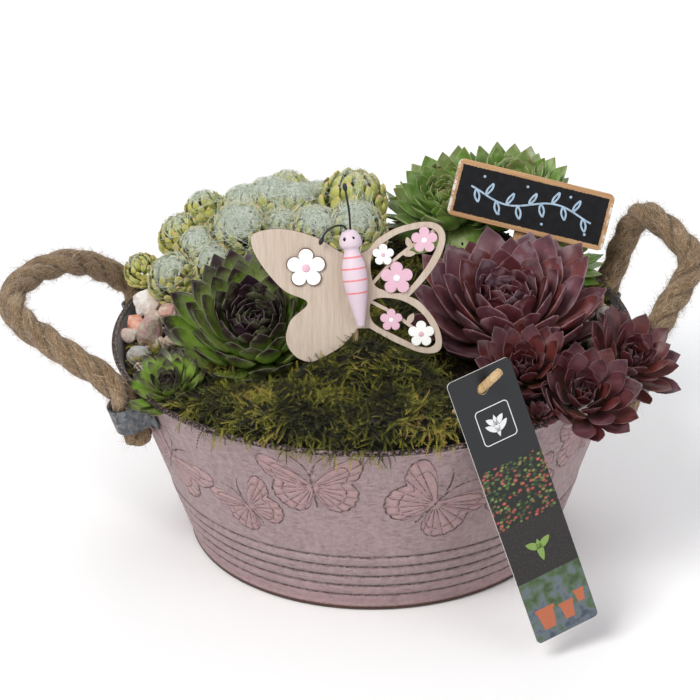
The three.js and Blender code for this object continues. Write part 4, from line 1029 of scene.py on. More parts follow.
def soil_material():
    graph = new_material("potting mix", 0.95, 0.2)
    where = graph.metres()
    tone = graph.noise(where, 420.0, 4.0, 0.7) * 0.7 + graph.attribute("tint") * 0.45
    return graph.surface(
        Base_Color=graph.ramp(tone, (0.28, 22, 16, 12), (0.5, 48, 35, 26), (0.68, 84, 62, 44),
                              (0.9, 128, 102, 76)),
        Normal=graph.bump(graph.noise(where, 900.0, 3.0, 0.7), 0.9, 0.0012))


class GARDEN_OT_soil(bpy.types.Operator):
    """Fills the tub with crumbly potting mix"""
    bl_idname = "garden.soil"
    bl_label = "Potting mix"

    rings = 46
    turns = 130
    crumbs = 1500

    def execute(self, context):
        material = soil_material()
        inner = wall_radius(SOIL_EDGE) - SHEET - 0.5
        profile = [(inner * (k / self.rings) ** 0.8, SOIL_EDGE) for k in range(self.rings + 1)]
        profile += [(inner - 0.4, SOIL_EDGE - 4), (wall_radius(60) - SHEET - 0.5, 60), (0, 60)]
        bm = spun(profile, self.turns)
        for vert in bm.verts:
            x, y, z = vert.co
            if z > SOIL_EDGE - 1:
                calm = 1 - min(1.0, hypot(x, y) / inner) ** 20
                lumps = 1.6 * rough(x, y, 0, 6) + 0.9 * rough(x, y, 0, 2.3, 5)
                vert.co.z = soil_height(x, y) + calm * lumps
        mesh = mesh_from(bm, "potting_mix", turn_out=True)
        store(mesh, "tint", np.full(len(mesh.vertices), 0.25))
        mesh.transform(SCALE_DOWN)
        add_piece("potting_mix", mesh, [material], ["soil"])
        self.add_crumbs(inner, material)
        return {"FINISHED"}

    def add_crumbs(self, inner, material):
        rng = np.random.default_rng(21)
        lump = Template(new_shape("icosphere", subdivisions=1, radius=1))
        crumbs = Heap(lump)
        for _ in range(self.crumbs):
            reach = (inner - 3) * math.sqrt(rng.uniform())
            turn = rng.uniform(0, FULL_TURN)
            x, y = reach * cos(turn), reach * sin(turn)
            size = rng.uniform(0.5, 1.5) * rng.uniform(0.5, 1.3, 3)
            cloud = lump.points * size * rng.uniform(0.7, 1.2, (len(lump.points), 1))
            cloud = cloud @ random_turn(rng).T
            crumbs.add(cloud + [x, y, soil_height(x, y) + 0.4], tint=rng.uniform(0, 1) ** 2)
        add_piece("potting_crumbs", crumbs.mesh("potting_crumbs"), [material])


def random_turn(rng):
    """A random rotation as an array."""
    axis = Vector(rng.normal(size=3)).normalized()
    return np.array(Matrix.Rotation(rng.uniform(0, FULL_TURN), 3, axis))


# Houseleek rosettes. Lengths in a form are shares of the rosette's radius, angles are in degrees

FORMS = {
    "burgundy": {"core": 0.3, "open": 16, "close": 76, "curl": 20, "width": 0.46, "slim": 0.45,
                 "thick": 0.075, "inner": 0.26, "cup": 0.22, "fullness": 1.7, "skirt": 10, "hang": (2, 14),
                 "outline": ((0, 0.55), (0.2, 0.66), (0.42, 0.86), (0.62, 1.0), (0.78, 0.88), (0.88, 0.6),
                             (0.945, 0.28), (0.985, 0.09), (1, 0))},
    "tipped": {"core": 0.32, "open": 12, "close": 74, "curl": 24, "width": 0.38, "slim": 0.46,
               "thick": 0.07, "inner": 0.26, "cup": 0.18, "fullness": 2.5, "skirt": 16, "hang": (5, 30),
               "outline": ((0, 0.6), (0.2, 0.72), (0.42, 0.86), (0.62, 1.0), (0.78, 0.9), (0.88, 0.6),
                           (0.945, 0.3), (0.985, 0.1), (1, 0))},
    "green": {"core": 0.32, "open": 8, "close": 76, "curl": 26, "width": 0.46, "slim": 0.42,
              "thick": 0.075, "inner": 0.26, "cup": 0.2, "fullness": 2.0, "skirt": 26, "hang": (12, 75),
              "outline": ((0, 0.6), (0.2, 0.72), (0.42, 0.9), (0.62, 1.0), (0.78, 0.82), (0.88, 0.5),
                          (0.945, 0.24), (0.985, 0.08), (1, 0))},
    "cobweb": {"core": 0.8, "width": 0.68, "inner": 0.3,
               "outline": ((0, 0.7), (0.25, 0.95), (0.5, 1.0), (0.72, 0.85), (0.88, 0.55), (1, 0))},
}

# Name, form, top of the bud, lean of the axis, radius and number of leaves
ROSETTES = (
    ("burgundy_rosette", "burgundy", (72, -17, 141), (0, -0.28), 52, 38),
    ("burgundy_offset_1", "burgundy", (77, -78, 132), (0, -0.45), 25, 18),
    ("burgundy_offset_2", "burgundy", (107, -97, 125), (0.15, -0.75), 27, 19),
    ("burgundy_offset_3", "burgundy", (134.5, -56, 125), (0.55, -0.5), 25, 18),
    ("burgundy_offset_4", "burgundy", (84, -106, 118), (0.1, -0.3), 9, 11),
    ("burgundy_offset_5", "burgundy", (130, -7, 121), (0.1, -0.2), 10, 12),
    ("dark_tipped_rosette", "tipped", (-62, -33, 138), (-0.1, -0.42), 46, 40),
    ("dark_tipped_offset", "tipped", (-106, -69, 120), (-0.15, -0.35), 17, 15),
    ("green_rosette_1", "green", (41, 76, 162), (-0.3, -0.35), 36, 27),
    ("green_rosette_2", "green", (80, 86, 165), (0.15, -0.1), 37, 28),
    ("green_rosette_3", "green", (105, 54, 139), (0.35, -0.1), 25, 18),
    ("green_rosette_4", "green", (36, 114, 145), (0, 0.35), 27, 16),
)

# Top, lean of the axis and radius of each cobweb ball
COBWEB_BALLS = (
    ((-129.5, 49.5, 134.8), (-0.4, -0.35), 9), ((-111, 28.7, 140.7), (-0.35, -0.5), 13.5),
    ((-95.5, 45.4, 149.7), (-0.2, -0.45), 12.5), ((-108.6, 68.9, 149.6), (-0.4, -0.1), 12.5),
    ((-94.4, 90.5, 155.1), (-0.25, 0.05), 12), ((-71.9, 45, 161.1), (0, -0.5), 17),
    ((-70.7, 78.7, 161.8), (-0.1, -0.1), 14), ((-55.5, 79.8, 164.9), (0, -0.15), 16),
    ((-40.2, 76.6, 163.1), (0.1, -0.1), 15), ((-46.5, 105.3, 160.7), (0, 0.2), 13),
    ((-49.6, 53.9, 156.1), (0, -0.4), 12), ((-30.1, 42.4, 161.4), (0, -0.45), 15),
    ((-8.1, 72.4, 172.5), (0.1, -0.1), 18), ((-28.4, 92.6, 158.7), (0, 0.05), 13),
    ((-8, 40, 164.5), (0.1, -0.45), 16), ((-87.5, 30.7, 146.1), (-0.1, -0.5), 13),
)

# How much longer some rosettes' leaves are than their radius asks for
LEAF_STRETCH = {"dark_tipped_offset": 1.35, "burgundy_offset_1": 1.12, "burgundy_offset_2": 1.1,
                "burgundy_offset_3": 1.15, "dark_tipped_rosette": 1.06}

# The share of a full web that each cobweb ball carries
WEB_SHARES = (0.25, 0.8, 1.0, 0.5, 0.7, 1.1, 1.1, 1.2, 1.1, 0.5, 0.8, 1.1, 0.2, 0.7, 1.0, 0.9)

# Colours: root, middle, tip, margin, waxy bloom; where the tip colour starts and how far it creeps inward
LEAF_COLOURS = {
    "burgundy": (srgb(114, 88, 60), srgb(120, 69, 74), srgb(88, 46, 54), srgb(174, 136, 132),
                 srgb(162, 138, 148), 0.72, 0.5, 0.4),
    # Painted shade: the offsets' set is the wine-red rosette's set made darker throughout.
    "shaded burgundy offset": (srgb(92, 66, 44), srgb(96, 47, 51), srgb(70, 32, 38), srgb(150, 108, 104),
                        srgb(128, 98, 104), 0.72, 0.5, 0.35),
    "tipped": (srgb(172, 184, 100), srgb(130, 156, 66), srgb(48, 28, 38), srgb(140, 136, 116),
               srgb(166, 180, 124), 0.67, 0.85, 0.25),
    "green": (srgb(148, 168, 96), srgb(116, 143, 70), srgb(120, 120, 66), srgb(196, 202, 154),
              srgb(178, 194, 142), 0.80, 0.1, 0.45),
}


def leaf_template(around, rings):
    """A ball whose rings run along a leaf from its root to its tip."""
    template = Template(new_shape("uvsphere", u_segments=around, v_segments=rings, radius=1))
    share = np.arccos(np.clip(-template.points[:, 2], -1, 1)) / pi
    template.ring = np.rint(share * rings).astype(int)
    template.angle = np.arctan2(template.points[:, 1], template.points[:, 0])
    template.wide = (template.ring > 0) & (template.ring < rings)
    return template


def leaf_cloud(template, outline, spine, across, axis, half, keel, cup):
    """The points of one leaf. spine gives places in millimetres from shares along the leaf."""
    shares = np.array([s for s, _ in outline])[template.ring]
    width = half * np.array([w for _, w in outline])[template.ring] * template.wide
    places = spine(shares)
    tangents = spine(np.minimum(shares + 0.02, 1.02)) - spine(shares - 0.02)
    above = np.cross(across, tangents)
    above /= np.linalg.norm(above, axis=1)[:, None]
    above *= np.where(above @ axis < 0, -1, 1)[:, None]
    side, rise = np.cos(template.angle), np.sin(template.angle)
    depth = keel * template.wide * np.clip(1.15 - shares ** 3, 0.1, 1)
    lift = depth * np.where(rise > 0, 0.4 * rise, 0.75 * rise) + cup * width * side ** 2
    return places + across * (width * side)[:, None] + above * lift[:, None], shares, np.abs(side)


def rosette_frame(heart, tip, radius, form):
    """A rosette's axis, side and front directions with its core's middle and radius."""
    axis = Vector((tip[0], tip[1], 1)).normalized()
    side = -Vector((1, 0, 0)).cross(axis).normalized()
    front = axis.cross(side)
    core_radius = form["core"] * radius
    centre = Vector(heart) - axis * (core_radius * 0.92 + form["inner"] * radius * 0.6)
    return np.array(axis), np.array(side), np.array(front), np.array(centre), core_radius


def neighbour_planes(heart, radius, overlap):
    """Planes that a rosette's leaves are pressed against, let through by an overlap in millimetres."""
    planes = []
    everyone = [(row[2], row[4]) for row in ROSETTES] + [(row[0], row[2]) for row in COBWEB_BALLS]
    for other, reach in everyone:
        between = np.subtract(other, heart)
        distance = np.linalg.norm(between)
        if 0 < distance <= 1.25 * (radius + reach):
            normal = between / distance
            planes.append((normal, normal @ np.array(heart) + distance * radius / (radius + reach) + overlap))
    return planes


def sign_planes(name, form):
    """Planes that keep the green clump behind the sign and the wine-red rosette before it."""
    facing = np.array(SIGN_ACROSS.cross(SIGN_UP))
    through = facing @ np.array(SIGN_CENTRE)
    if form == "green":
        return [(facing, through - 9)]
    return [(-facing, -through - 1.5)] if name == "burgundy_rosette" else []


def pressed(cloud, planes, share):
    """A cloud of points with a share of what lies past each plane pushed back."""
    for normal, limit in planes:
        over = np.maximum(cloud @ normal - limit, 0)
        cloud = cloud - over[:, None] * normal * share
    return cloud


def leaf_material(name):
    root, middle, tip, margin, bloom, tip_start, creep, streaks = LEAF_COLOURS[name]
    graph = new_material(name + " leaf", 0.38, 0.55)
    crept = graph.remap(graph.attribute("age"), 0.4, 0.85)
    leaf = graph.group("leaf tint", {"Base": root, "Middle": middle, "Tip": tip, "Margin": margin,
                                     "Bloom": bloom, "Tip Start": tip_start - crept * creep,
                                     "Streaks": streaks})
    return graph.surface(
        Subsurface_Weight=0.08, Subsurface_Radius=(0.004, 0.003, 0.002), Base_Color=leaf["Color"],
        Roughness=graph.remap(leaf["Wax"], 0.0, 0.5, 0.36, 0.50),
        Normal=graph.bump(leaf["Height"], 0.25, 0.0006))


class GARDEN_OT_rosettes(bpy.types.Operator):
    """Grows the open houseleek rosettes"""
    bl_idname = "garden.rosettes"
    bl_label = "Open rosettes"

    def execute(self, context):
        fullness = context.scene.garden.plants.fullness
        template = leaf_template(12, 8)
        materials = {name: leaf_material(name) for name in LEAF_COLOURS}
        for seed, row in enumerate(ROSETTES):
            # The offsets take the darker set, which paints shade on them.
            colours = "shaded burgundy offset" if row[0].startswith("burgundy_offset") else row[1]
            self.add_rosette(row, seed, fullness, template, materials[colours])
        return {"FINISHED"}

    def add_rosette(self, row, seed, fullness, template, material):
        name, form_name, heart, tip, radius, plain_leaves = row
        form = FORMS[form_name]
        rng = np.random.default_rng(100 + seed)
        axis, side, front, centre, core_radius = rosette_frame(heart, tip, radius, form)
        planes = neighbour_planes(heart, radius, 2.5) + sign_planes(name, form_name)
        reach = radius * (1 - form["core"] * 0.8) / cos(radians(form["open"] + form["curl"]))
        reach *= LEAF_STRETCH.get(name, 1.0)
        count = round(plain_leaves * form["fullness"] * fullness)
        leaves = Heap(template)
        for i in range(-form["skirt"], count):
            t = max(i, 0) / (count - 1)
            turn = i * GOLDEN_ANGLE + rng.uniform(-0.09, 0.09)
            out = front * cos(turn) + side * sin(turn)
            across = np.cross(out, axis)
            across = across * cos(0.1 * rng.normal()) + axis * sin(0.1 * rng.normal())
            polar = radians(98 - 84 * t)
            root = centre + 0.8 * core_radius * (out * sin(polar) + axis * cos(polar))
            length = reach * (1 - (1 - form["inner"]) * t ** 1.15) * rng.uniform(0.92, 1.06)
            elevation = form["open"] + (form["close"] - form["open"]) * t ** 1.15 + form["curl"] / 2
            elevation += rng.uniform(-3, 3) - (rng.uniform(*form["hang"]) if i < 0 else 0)
            half = form["width"] * reach / 2 * (1 - form["slim"] * t) * rng.uniform(0.92, 1.08)
            keel = form["thick"] * radius * (1 - 0.4 * t)

            def make(rise, share):
                def spine(s):
                    bend = np.radians(elevation + form["curl"] * (s - 0.5) + rise * s)
                    return root + length * share * s[:, None] * (
                        np.cos(bend)[:, None] * out + np.sin(bend)[:, None] * axis)
                return leaf_cloud(template, form["outline"], spine, across, axis, half, keel, form["cup"])
            cloud, shares, margin = make(0, 1)
            step = 0
            while step < 6 and any((cloud @ normal).max() > limit for normal, limit in planes):
                step += 1
                cloud, shares, margin = make(9 * step, 1 - 0.05 * step)
            leaves.add(pressed(cloud, planes, 0.85), along=shares,
                       edge=np.maximum(margin, np.clip((shares - 0.9) * 10, 0, 1)), age=t, tint=rng.uniform())
        add_piece(name + "_leaves", leaves.mesh(name + "_leaves"), [material], [name])


# Cobweb houseleeks

def ball_frame(heart, tip, radius):
    """A cobweb ball's axis, side and front directions and its middle."""
    form = FORMS["cobweb"]
    axis, side, front, centre, _ = rosette_frame(heart, tip, radius, form)
    centre = centre + axis * (form["core"] * 0.92 + form["inner"] * 0.6 - 1.0) * radius
    return axis, side, front, centre


def cobweb_material():
    graph = new_material("cobweb leaf", 0.6, 0.3, 0.2)
    where = graph.metres()
    tint = graph.attribute("tint")
    mottle = graph.noise(where, 300.0, 3.0, 0.6)
    leaf = graph.ramp(graph.attribute("along") + (mottle - 0.5) * 0.4, (0.0, 108, 122, 44),
                      (0.45, 166, 172, 76), (0.85, 196, 196, 108), (1.0, 206, 160, 126))
    leaf = graph.mix(graph.remap(tint, 0.55, 1.0) * 0.5, leaf, srgb(206, 196, 104))
    leaf = graph.mix(graph.remap(tint, 0.25, 0.0) * 0.4, leaf, srgb(132, 150, 84))
    strands = graph.noise(where, 1700.0, 4.0, 0.75)
    weave = graph.noise(where, 620.0, 3.0, 0.7)
    reach = graph.remap(graph.attribute("crown"), 0.72, 0.95) * graph.attribute("web")
    web = graph.remap(strands * 0.6 + (weave * 0.4 + reach * 0.22), 0.55, 0.68)
    web = web * graph.math("ADD", 0.08, reach * 0.6, clamp=True)
    return graph.surface(Base_Color=graph.mix(web, leaf, srgb(202, 208, 198)),
                         Normal=graph.bump(strands, 0.6, 0.0008))


def wool_material():
    graph = new_material("cobweb wool", 0.9, 0.2)
    return graph.surface(Base_Color=graph.ramp(
        graph.attribute("tint"), (0.0, 168, 182, 158), (0.5, 204, 212, 198), (1.0, 232, 235, 228)))


class GARDEN_OT_cobwebs(bpy.types.Operator):
    """Grows the webbed balls of cobweb houseleek"""
    bl_idname = "garden.cobwebs"
    bl_label = "Cobweb rosettes"

    scales = 56
    swell = 1.18
    bridges = 36
    bridge_level = 154

    def execute(self, context):
        template = leaf_template(8, 5)
        leaf, wool = cobweb_material(), wool_material()
        for i, (heart, tip, radius) in enumerate(COBWEB_BALLS):
            self.add_ball(i, heart, tip, radius, template, leaf)
        self.add_wool(context.scene.garden.plants.web_threads, wool)
        return {"FINISHED"}

    def add_ball(self, index, heart, tip, radius, template, material):
        form = FORMS["cobweb"]
        rng = np.random.default_rng(200 + index)
        axis, side, front, centre = ball_frame(heart, tip, radius)
        planes = neighbour_planes(heart, radius, 4.0)
        scales = Heap(template)
        for i in range(self.scales):
            t = i / (self.scales - 1)
            polar = math.degrees(math.acos(-0.5 + 1.49 * t)) + rng.uniform(-3, 3)
            turn = i * GOLDEN_ANGLE + rng.uniform(-0.08, 0.08)
            out = front * cos(turn) + side * sin(turn)
            across = np.cross(out, axis)
            half = form["width"] * radius / 2 * (1 - 0.5 * t) * rng.uniform(0.9, 1.1)

            def spine(s):
                angle = np.radians(np.maximum(polar + 22 - 40 * s, 4 - 4 * s))[:, None]
                reach = radius * self.swell * (0.5 + 0.5 * np.clip(s, 0, 1)[:, None] ** 0.55)
                return centre + reach * (np.sin(angle) * out + np.cos(angle) * axis)
            cloud, shares, _ = leaf_cloud(template, form["outline"], spine, across, axis, half,
                                          keel=half * 0.7, cup=0.0)
            cloud = pressed(cloud, planes, 0.9)
            heading = (cloud - centre) / np.linalg.norm(cloud - centre, axis=1)[:, None]
            scales.add(cloud, along=shares, crown=np.clip(heading @ axis, 0, 1), tint=rng.uniform())
        name = f"cobweb_rosette_{index + 1}"
        mesh = scales.mesh(name + "_scales")
        store(mesh, "web", np.full(len(mesh.vertices), WEB_SHARES[index]))
        add_piece(name + "_scales", mesh, [material], [name])

    def pairs(self):
        """Neighbouring balls near the top of the clump, which share a web."""
        return [(a, b) for i, a in enumerate(COBWEB_BALLS) for b in COBWEB_BALLS[i + 1:]
                if np.linalg.norm(np.subtract(a[0], b[0])) < 1.15 * (a[2] + b[2])
                and min(a[0][2], b[0][2]) > self.bridge_level]

    def add_wool(self, threads, material):
        """Fine threads spun from tip to tip over the crown of each ball."""
        rng = np.random.default_rng(300)
        thread = Template(new_shape("grid", x_segments=1, y_segments=5, size=0.5))
        s = (thread.points[:, 1] + 0.5)[:, None]
        wool = Heap(thread)
        for (heart, tip, radius), share in zip(COBWEB_BALLS, WEB_SHARES):
            axis, side, front, centre = ball_frame(heart, tip, radius)

            def spot(polar, turn):
                out = front * cos(turn) + side * sin(turn)
                return out * sin(polar) + axis * cos(polar)
            for _ in range(round(threads * share * (radius / 18) ** 2)):
                polar = radians(40 if rng.uniform() < 0.7 else 100) * rng.uniform() ** 0.7
                turn = rng.uniform(0, FULL_TURN)
                start = spot(polar, turn)
                end = spot(abs(polar + rng.uniform(-0.5, 0.35)), turn + rng.normal() * 0.9)
                line = start * (1 - s) + end * s
                line /= np.linalg.norm(line, axis=1)[:, None]
                reach = radius * self.swell * (1.0 + 0.05 * np.sin(np.pi * s) * rng.uniform(-0.4, 1.4))
                flat = np.cross(end - start, line)
                flat /= np.linalg.norm(flat, axis=1)[:, None] + 1e-9
                width = rng.uniform(0.10, 0.19)
                wool.add(centre + line * reach + flat * thread.points[:, :1] * width, tint=rng.uniform())
        for first, second in self.pairs():
            for _ in range(self.bridges):
                ends = []
                for heart, tip, radius in (first, second):
                    shift = rng.normal(size=3)
                    shift[2] *= 0.3
                    drop = 0.12 * radius * (shift @ shift)
                    ends.append(np.array(heart) + 0.45 * radius * shift - [0, 0, drop])
                flat = np.cross(ends[1] - ends[0], [0, 0, 1.0])
                flat /= np.linalg.norm(flat) + 1e-9
                sag = np.sin(np.pi * s) * rng.uniform(-1.5, 1.5)
                line = ends[0] * (1 - s) + ends[1] * s + flat * sag + [0, 0, 0.6]
                wool.add(line + flat * thread.points[:, :1] * rng.uniform(0.10, 0.17), tint=rng.uniform())
        add_piece("cobweb_wool", wool.mesh("cobweb_wool"), [material])


# Moss

# Middle and half size of each lump
MOSS_LUMPS = (
    (-30, -98, 115, 40, 32, 13), (18, -104, 115, 40, 32, 13), (-64, -88, 113, 28, 22, 10),
    (-86, -84, 110, 26, 24, 9), (-54, -108, 111, 30, 20, 10), (52, -112, 111, 30, 20, 11),
    (-6, -116, 112, 40, 16, 11), (-84, -56, 110, 26, 24, 9), (96, 88, 110, 30, 26, 10),
    (-30, 96, 114, 44, 30, 14), (-90, 84, 110, 34, 26, 14), (126, -18, 108, 8, 20, 8),
    (-104, -34, 108, 20, 24, 8), (4, 112, 108, 34, 18, 12), (52, 114, 106, 44, 20, 11),
    (112, 46, 106, 18, 30, 10), (-116, 60, 106, 20, 26, 10), (-4, -72, 120, 36, 24, 17),
    (0, -28, 118, 34, 32, 12), (-5, -73, 128, 17, 13, 15), (10, 14, 116, 34, 30, 10),
    (-44, 4, 114, 40, 24, 9), (22, 46, 120, 26, 22, 10),
)


def moss_height(x, y):
    """The top of the moss cushions at a place, or None off them."""
    best = None
    for lx, ly, lz, a, b, c in MOSS_LUMPS:
        away = ((x - lx) / a) ** 2 + ((y - ly) / b) ** 2
        if away < 1:
            best = max(best or 0, lz + c * math.sqrt(1 - away))
    return best


def moss_material(name, *stops):
    graph = new_material(name, 0.85, 0.2, 0.1)
    patch = graph.noise(graph.metres(), 34.0, 3.0, 0.6)
    tone = graph.attribute("tint") * 0.5 + graph.attribute("along") * 0.34 + (patch - 0.61) * 1.6
    return graph.surface(Base_Color=graph.ramp(tone, *stops))


class GARDEN_OT_moss(bpy.types.Operator):
    """Lays the moss with its feathery strands"""
    bl_idname = "garden.moss"
    bl_label = "Moss"

    leaflets = 9
    heaps = 3
    # Distances from the tub's middle, in millimetres
    bare_reach = 126
    rim_reach = 128
    wall_reach = 134
    spill_reach = 138
    fan_reach = 122
    cushion_reach = 133.0
    wall_gap = 3.0
    spill_level = 113.5

    def execute(self, context):
        self.add_cushion()
        self.add_strands(context.scene.garden.plants.moss_strands)
        return {"FINISHED"}

    def add_cushion(self):
        bm = bmesh.new()
        for x, y, z, a, b, c in MOSS_LUMPS:
            made = bmesh.ops.create_uvsphere(bm, u_segments=40, v_segments=24, radius=1)["verts"]
            for vert in made:
                p = vert.co
                spot = (p.x * a, p.y * b, p.z * c)
                swell = 1 + 0.13 * rough(*spot, 7, x) + 0.05 * rough(*spot, 2.5, y)
                vert.co = Vector((x + p.x * a * swell, y + p.y * b * swell, z + p.z * c * swell - 1.5))
                away = hypot(vert.co.x, vert.co.y)
                limit = min(self.cushion_reach, wall_radius(vert.co.z) - self.wall_gap)
                if away > limit:
                    vert.co.x *= limit / away
                    vert.co.y *= limit / away
        mesh = mesh_from(bm, "moss_cushion")
        # Partly painted shade: the cushion is held at the dark end of its ramp, for the moss's own brown
        # lower growth and for the shade in the gaps between the strands.
        store(mesh, "tint", np.full(len(mesh.vertices), 0.05))
        store(mesh, "along", np.zeros(len(mesh.vertices)))
        mesh.transform(SCALE_DOWN)
        material = moss_material("moss cushion", (0.0, 20, 18, 8), (0.3, 36, 34, 14), (0.6, 56, 50, 22),
                                 (1.0, 80, 66, 34))
        add_piece("moss_cushion", mesh, [material], ["moss"])

    def strand_template(self):
        bm = new_shape("grid", x_segments=1, y_segments=6, size=0.5)
        for vert in bm.verts:
            vert.co = Vector((vert.co.x * 0.3, vert.co.y + 0.5, 0))
        for k in range(self.leaflets):
            for hand in (-1, 1):
                root = (k + 0.5 * (hand > 0) + 0.4) / self.leaflets
                made = bmesh.ops.create_circle(bm, cap_ends=True, segments=3, radius=1)["verts"]
                length = 1.7 * (1 - 0.6 * root)
                corners = ((0, root - 0.022, 0), (0, root + 0.03, 0), (hand * length, root + 0.075, 0.5))
                for vert, corner in zip(made, corners):
                    vert.co = corner
        return Template(bm)

    def add_strands(self, count):
        rng = np.random.default_rng(31)
        strand = self.strand_template()
        upright = np.array([0, 0, 1])
        moss = Heap(strand)
        while len(moss.clouds) < count:
            x = rng.uniform(-self.wall_reach, self.wall_reach)
            y = rng.uniform(-self.spill_reach, self.wall_reach)
            away = hypot(x, y)
            top = moss_height(x, y)
            in_front = -2.5 < math.atan2(y, x) < -1.25
            spills = away > self.rim_reach and in_front and rough(x, y, 0, 9, 6) > 0.02
            behind_tag = 40 < x < 100 and y < 0 and away > 116
            if away > (self.spill_reach if spills else self.wall_reach) or behind_tag:
                continue
            if top is None and not spills and (rng.uniform() > 0.3 or away > self.bare_reach):
                continue
            if any(hypot(x - row[2][0], y - row[2][1]) < row[4] * 0.55 for row in ROSETTES):
                continue
            ground = soil_height(x, y)
            base = max(top - 1.5, ground) if top else ground
            base = max(base, self.spill_level) if spills else base
            fans = away > self.fan_reach
            turn = math.atan2(y, x) + rng.normal() * 0.7 if fans else rng.uniform(0, FULL_TURN)
            level = np.array([cos(turn), sin(turn), 0])
            across = np.array([-sin(turn), cos(turn), 0])
            length = rng.uniform(5, 12) * (0.75 if spills else 1) if top or spills else rng.uniform(4, 8)
            lift = radians(rng.uniform(0, 62))
            base += 2.2 * rough(x, y, 0, 6.5, 4)
            droop = rng.uniform(0.2, 1.1) + (1.2 if spills else 0)
            roll = rng.uniform(-0.9, 0.9)
            s = strand.points[:, 1:2]
            swing = rng.normal() * 0.25
            spine = np.array([x, y, base]) + length * (
                level * np.sin(s * 1.2) * cos(lift) * 1.1
                + upright * (s * sin(lift) - droop * 0.5 * s * s) + across * swing * s * s)
            flat = across * cos(roll) + upright * sin(roll)
            cloud = spine + flat * strand.points[:, :1] + 0.6 * upright * strand.points[:, 2:]
            brown = 0.4 if rough(x, y, 0, 22, 9) > 0.12 else 0.0
            moss.add(cloud, tint=np.clip(rng.uniform(0.1, 0.9) + brown, 0, 1), along=strand.points[:, 1])
        material = moss_material("moss strands", (0.0, 30, 28, 10), (0.26, 60, 60, 18), (0.46, 106, 108, 34),
                                 (0.66, 152, 138, 62), (0.92, 138, 96, 56))
        share = count // self.heaps
        for heap in range(self.heaps):
            name = f"moss_strands_{heap + 1}"
            add_piece(name, moss.mesh(name, slice(heap * share, (heap + 1) * share)), [material])


# Gravel: place, half size and turn of each stone in millimetres and degrees, its two colours and slot

STONES = (
    ((-121, 33, 116), (12, 9, 8), 20, srgb(244, 241, 238), srgb(216, 198, 188), "gravel_white"),
    ((-110, 20, 115.5), (7.5, 6.5, 7), 70, srgb(206, 158, 148), srgb(226, 204, 188), "gravel_pink"),
    ((-119, -6, 117), (9, 7, 10.5), 10, srgb(184, 146, 146), srgb(196, 182, 164), "gravel_pink"),
    ((-127, 10, 113), (6.5, 8, 7.5), 40, srgb(222, 146, 120), srgb(236, 186, 166), "gravel_pink"),
    ((-124, -24, 112.5), (8, 6, 5.5), -20, srgb(169, 170, 169), srgb(196, 186, 178), "gravel_white"),
    ((-118, -38, 111.5), (7, 5.5, 5), 55, srgb(217, 213, 201), srgb(186, 176, 166), "gravel_white"),
    ((121, 32, 114.5), (8, 7.5, 7), 35, srgb(216, 193, 182), srgb(200, 160, 140), "gravel_pink"),
    ((127, 14, 112.5), (6.5, 7, 6), -15, srgb(223, 217, 210), srgb(190, 180, 172), "gravel_white"),
)


def stone_material(name, main, vein):
    graph = new_material(name, 0.75, 0.3)
    where = graph.metres()
    cloud = graph.noise(where, 150.0, 5.0, 0.7)
    fine = graph.noise(where, 900.0, 4.0, 0.7)
    colour = graph.mix(graph.remap(cloud, 0.42, 0.6), main, vein)
    return graph.surface(Base_Color=graph.mix(graph.remap(fine, 0.6, 0.72) * 0.5, colour, srgb(116, 88, 78)),
                         Normal=graph.bump(cloud + fine * 0.5, 0.8, 0.002))


def broken_stone(rng, points, cuts):
    """Cuts flat faces on a ball of points, as on broken stone."""
    points = points.copy()
    for _ in range(cuts):
        normal = rng.normal(size=3)
        normal /= np.linalg.norm(normal)
        over = np.maximum(points @ normal - rng.uniform(0.62, 0.9), 0)
        points -= over[:, None] * normal
    return points


class GARDEN_OT_gravel(bpy.types.Operator):
    """Lays the broken stones and chips by the rim"""
    bl_idname = "garden.gravel"
    bl_label = "Gravel"

    chips = 110
    stone_cuts = 19
    chip_cuts = 12
    left_arc = (148, 206)
    right_arc = (-10, 24)
    ring = (102, 131)

    def execute(self, context):
        for i, (place, size, turn, main, vein, slot) in enumerate(STONES):
            rng = np.random.default_rng(400 + i)
            name = f"stone_{i + 1}"
            mesh = mesh_from(new_shape("icosphere", subdivisions=5, radius=1), name + "_rock")
            points = broken_stone(rng, points_of(mesh), self.stone_cuts)
            grain = [rough(*(p * 10), 3.2, i) * 0.05 + rough(*(p * 10), 1.1, i) * 0.03 for p in points]
            points *= (1 + np.array(grain))[:, None]
            points = points * size @ np.array(Matrix.Rotation(radians(-turn), 3, "Z"))
            move_points(mesh, (points + place) * MM)
            add_piece(name + "_rock", mesh, [stone_material(f"stone {i + 1}", main, vein)], [name])
        self.add_chips()
        return {"FINISHED"}

    def add_chips(self):
        rng = np.random.default_rng(41)
        ball = Template(new_shape("icosphere", subdivisions=3, radius=1))
        chips = Heap(ball)
        for i in range(self.chips):
            azimuth = radians(rng.uniform(*(self.left_arc if i % 4 else self.right_arc)))
            reach = rng.uniform(*self.ring)
            x, y = reach * cos(azimuth), reach * sin(azimuth)
            size = rng.uniform(1.6, 5.2) * rng.uniform(0.7, 1.1, 3)
            cloud = broken_stone(rng, ball.points, self.chip_cuts) * size @ random_turn(rng).T
            chips.add(cloud + [x, y, soil_height(x, y) + size.min() * 0.8])
        material = stone_material("chips", srgb(206, 180, 166), srgb(226, 214, 202))
        add_piece("gravel_chips", chips.mesh("gravel_chips"), [material])


# The butterfly pick, drawn in its own plane in millimetres

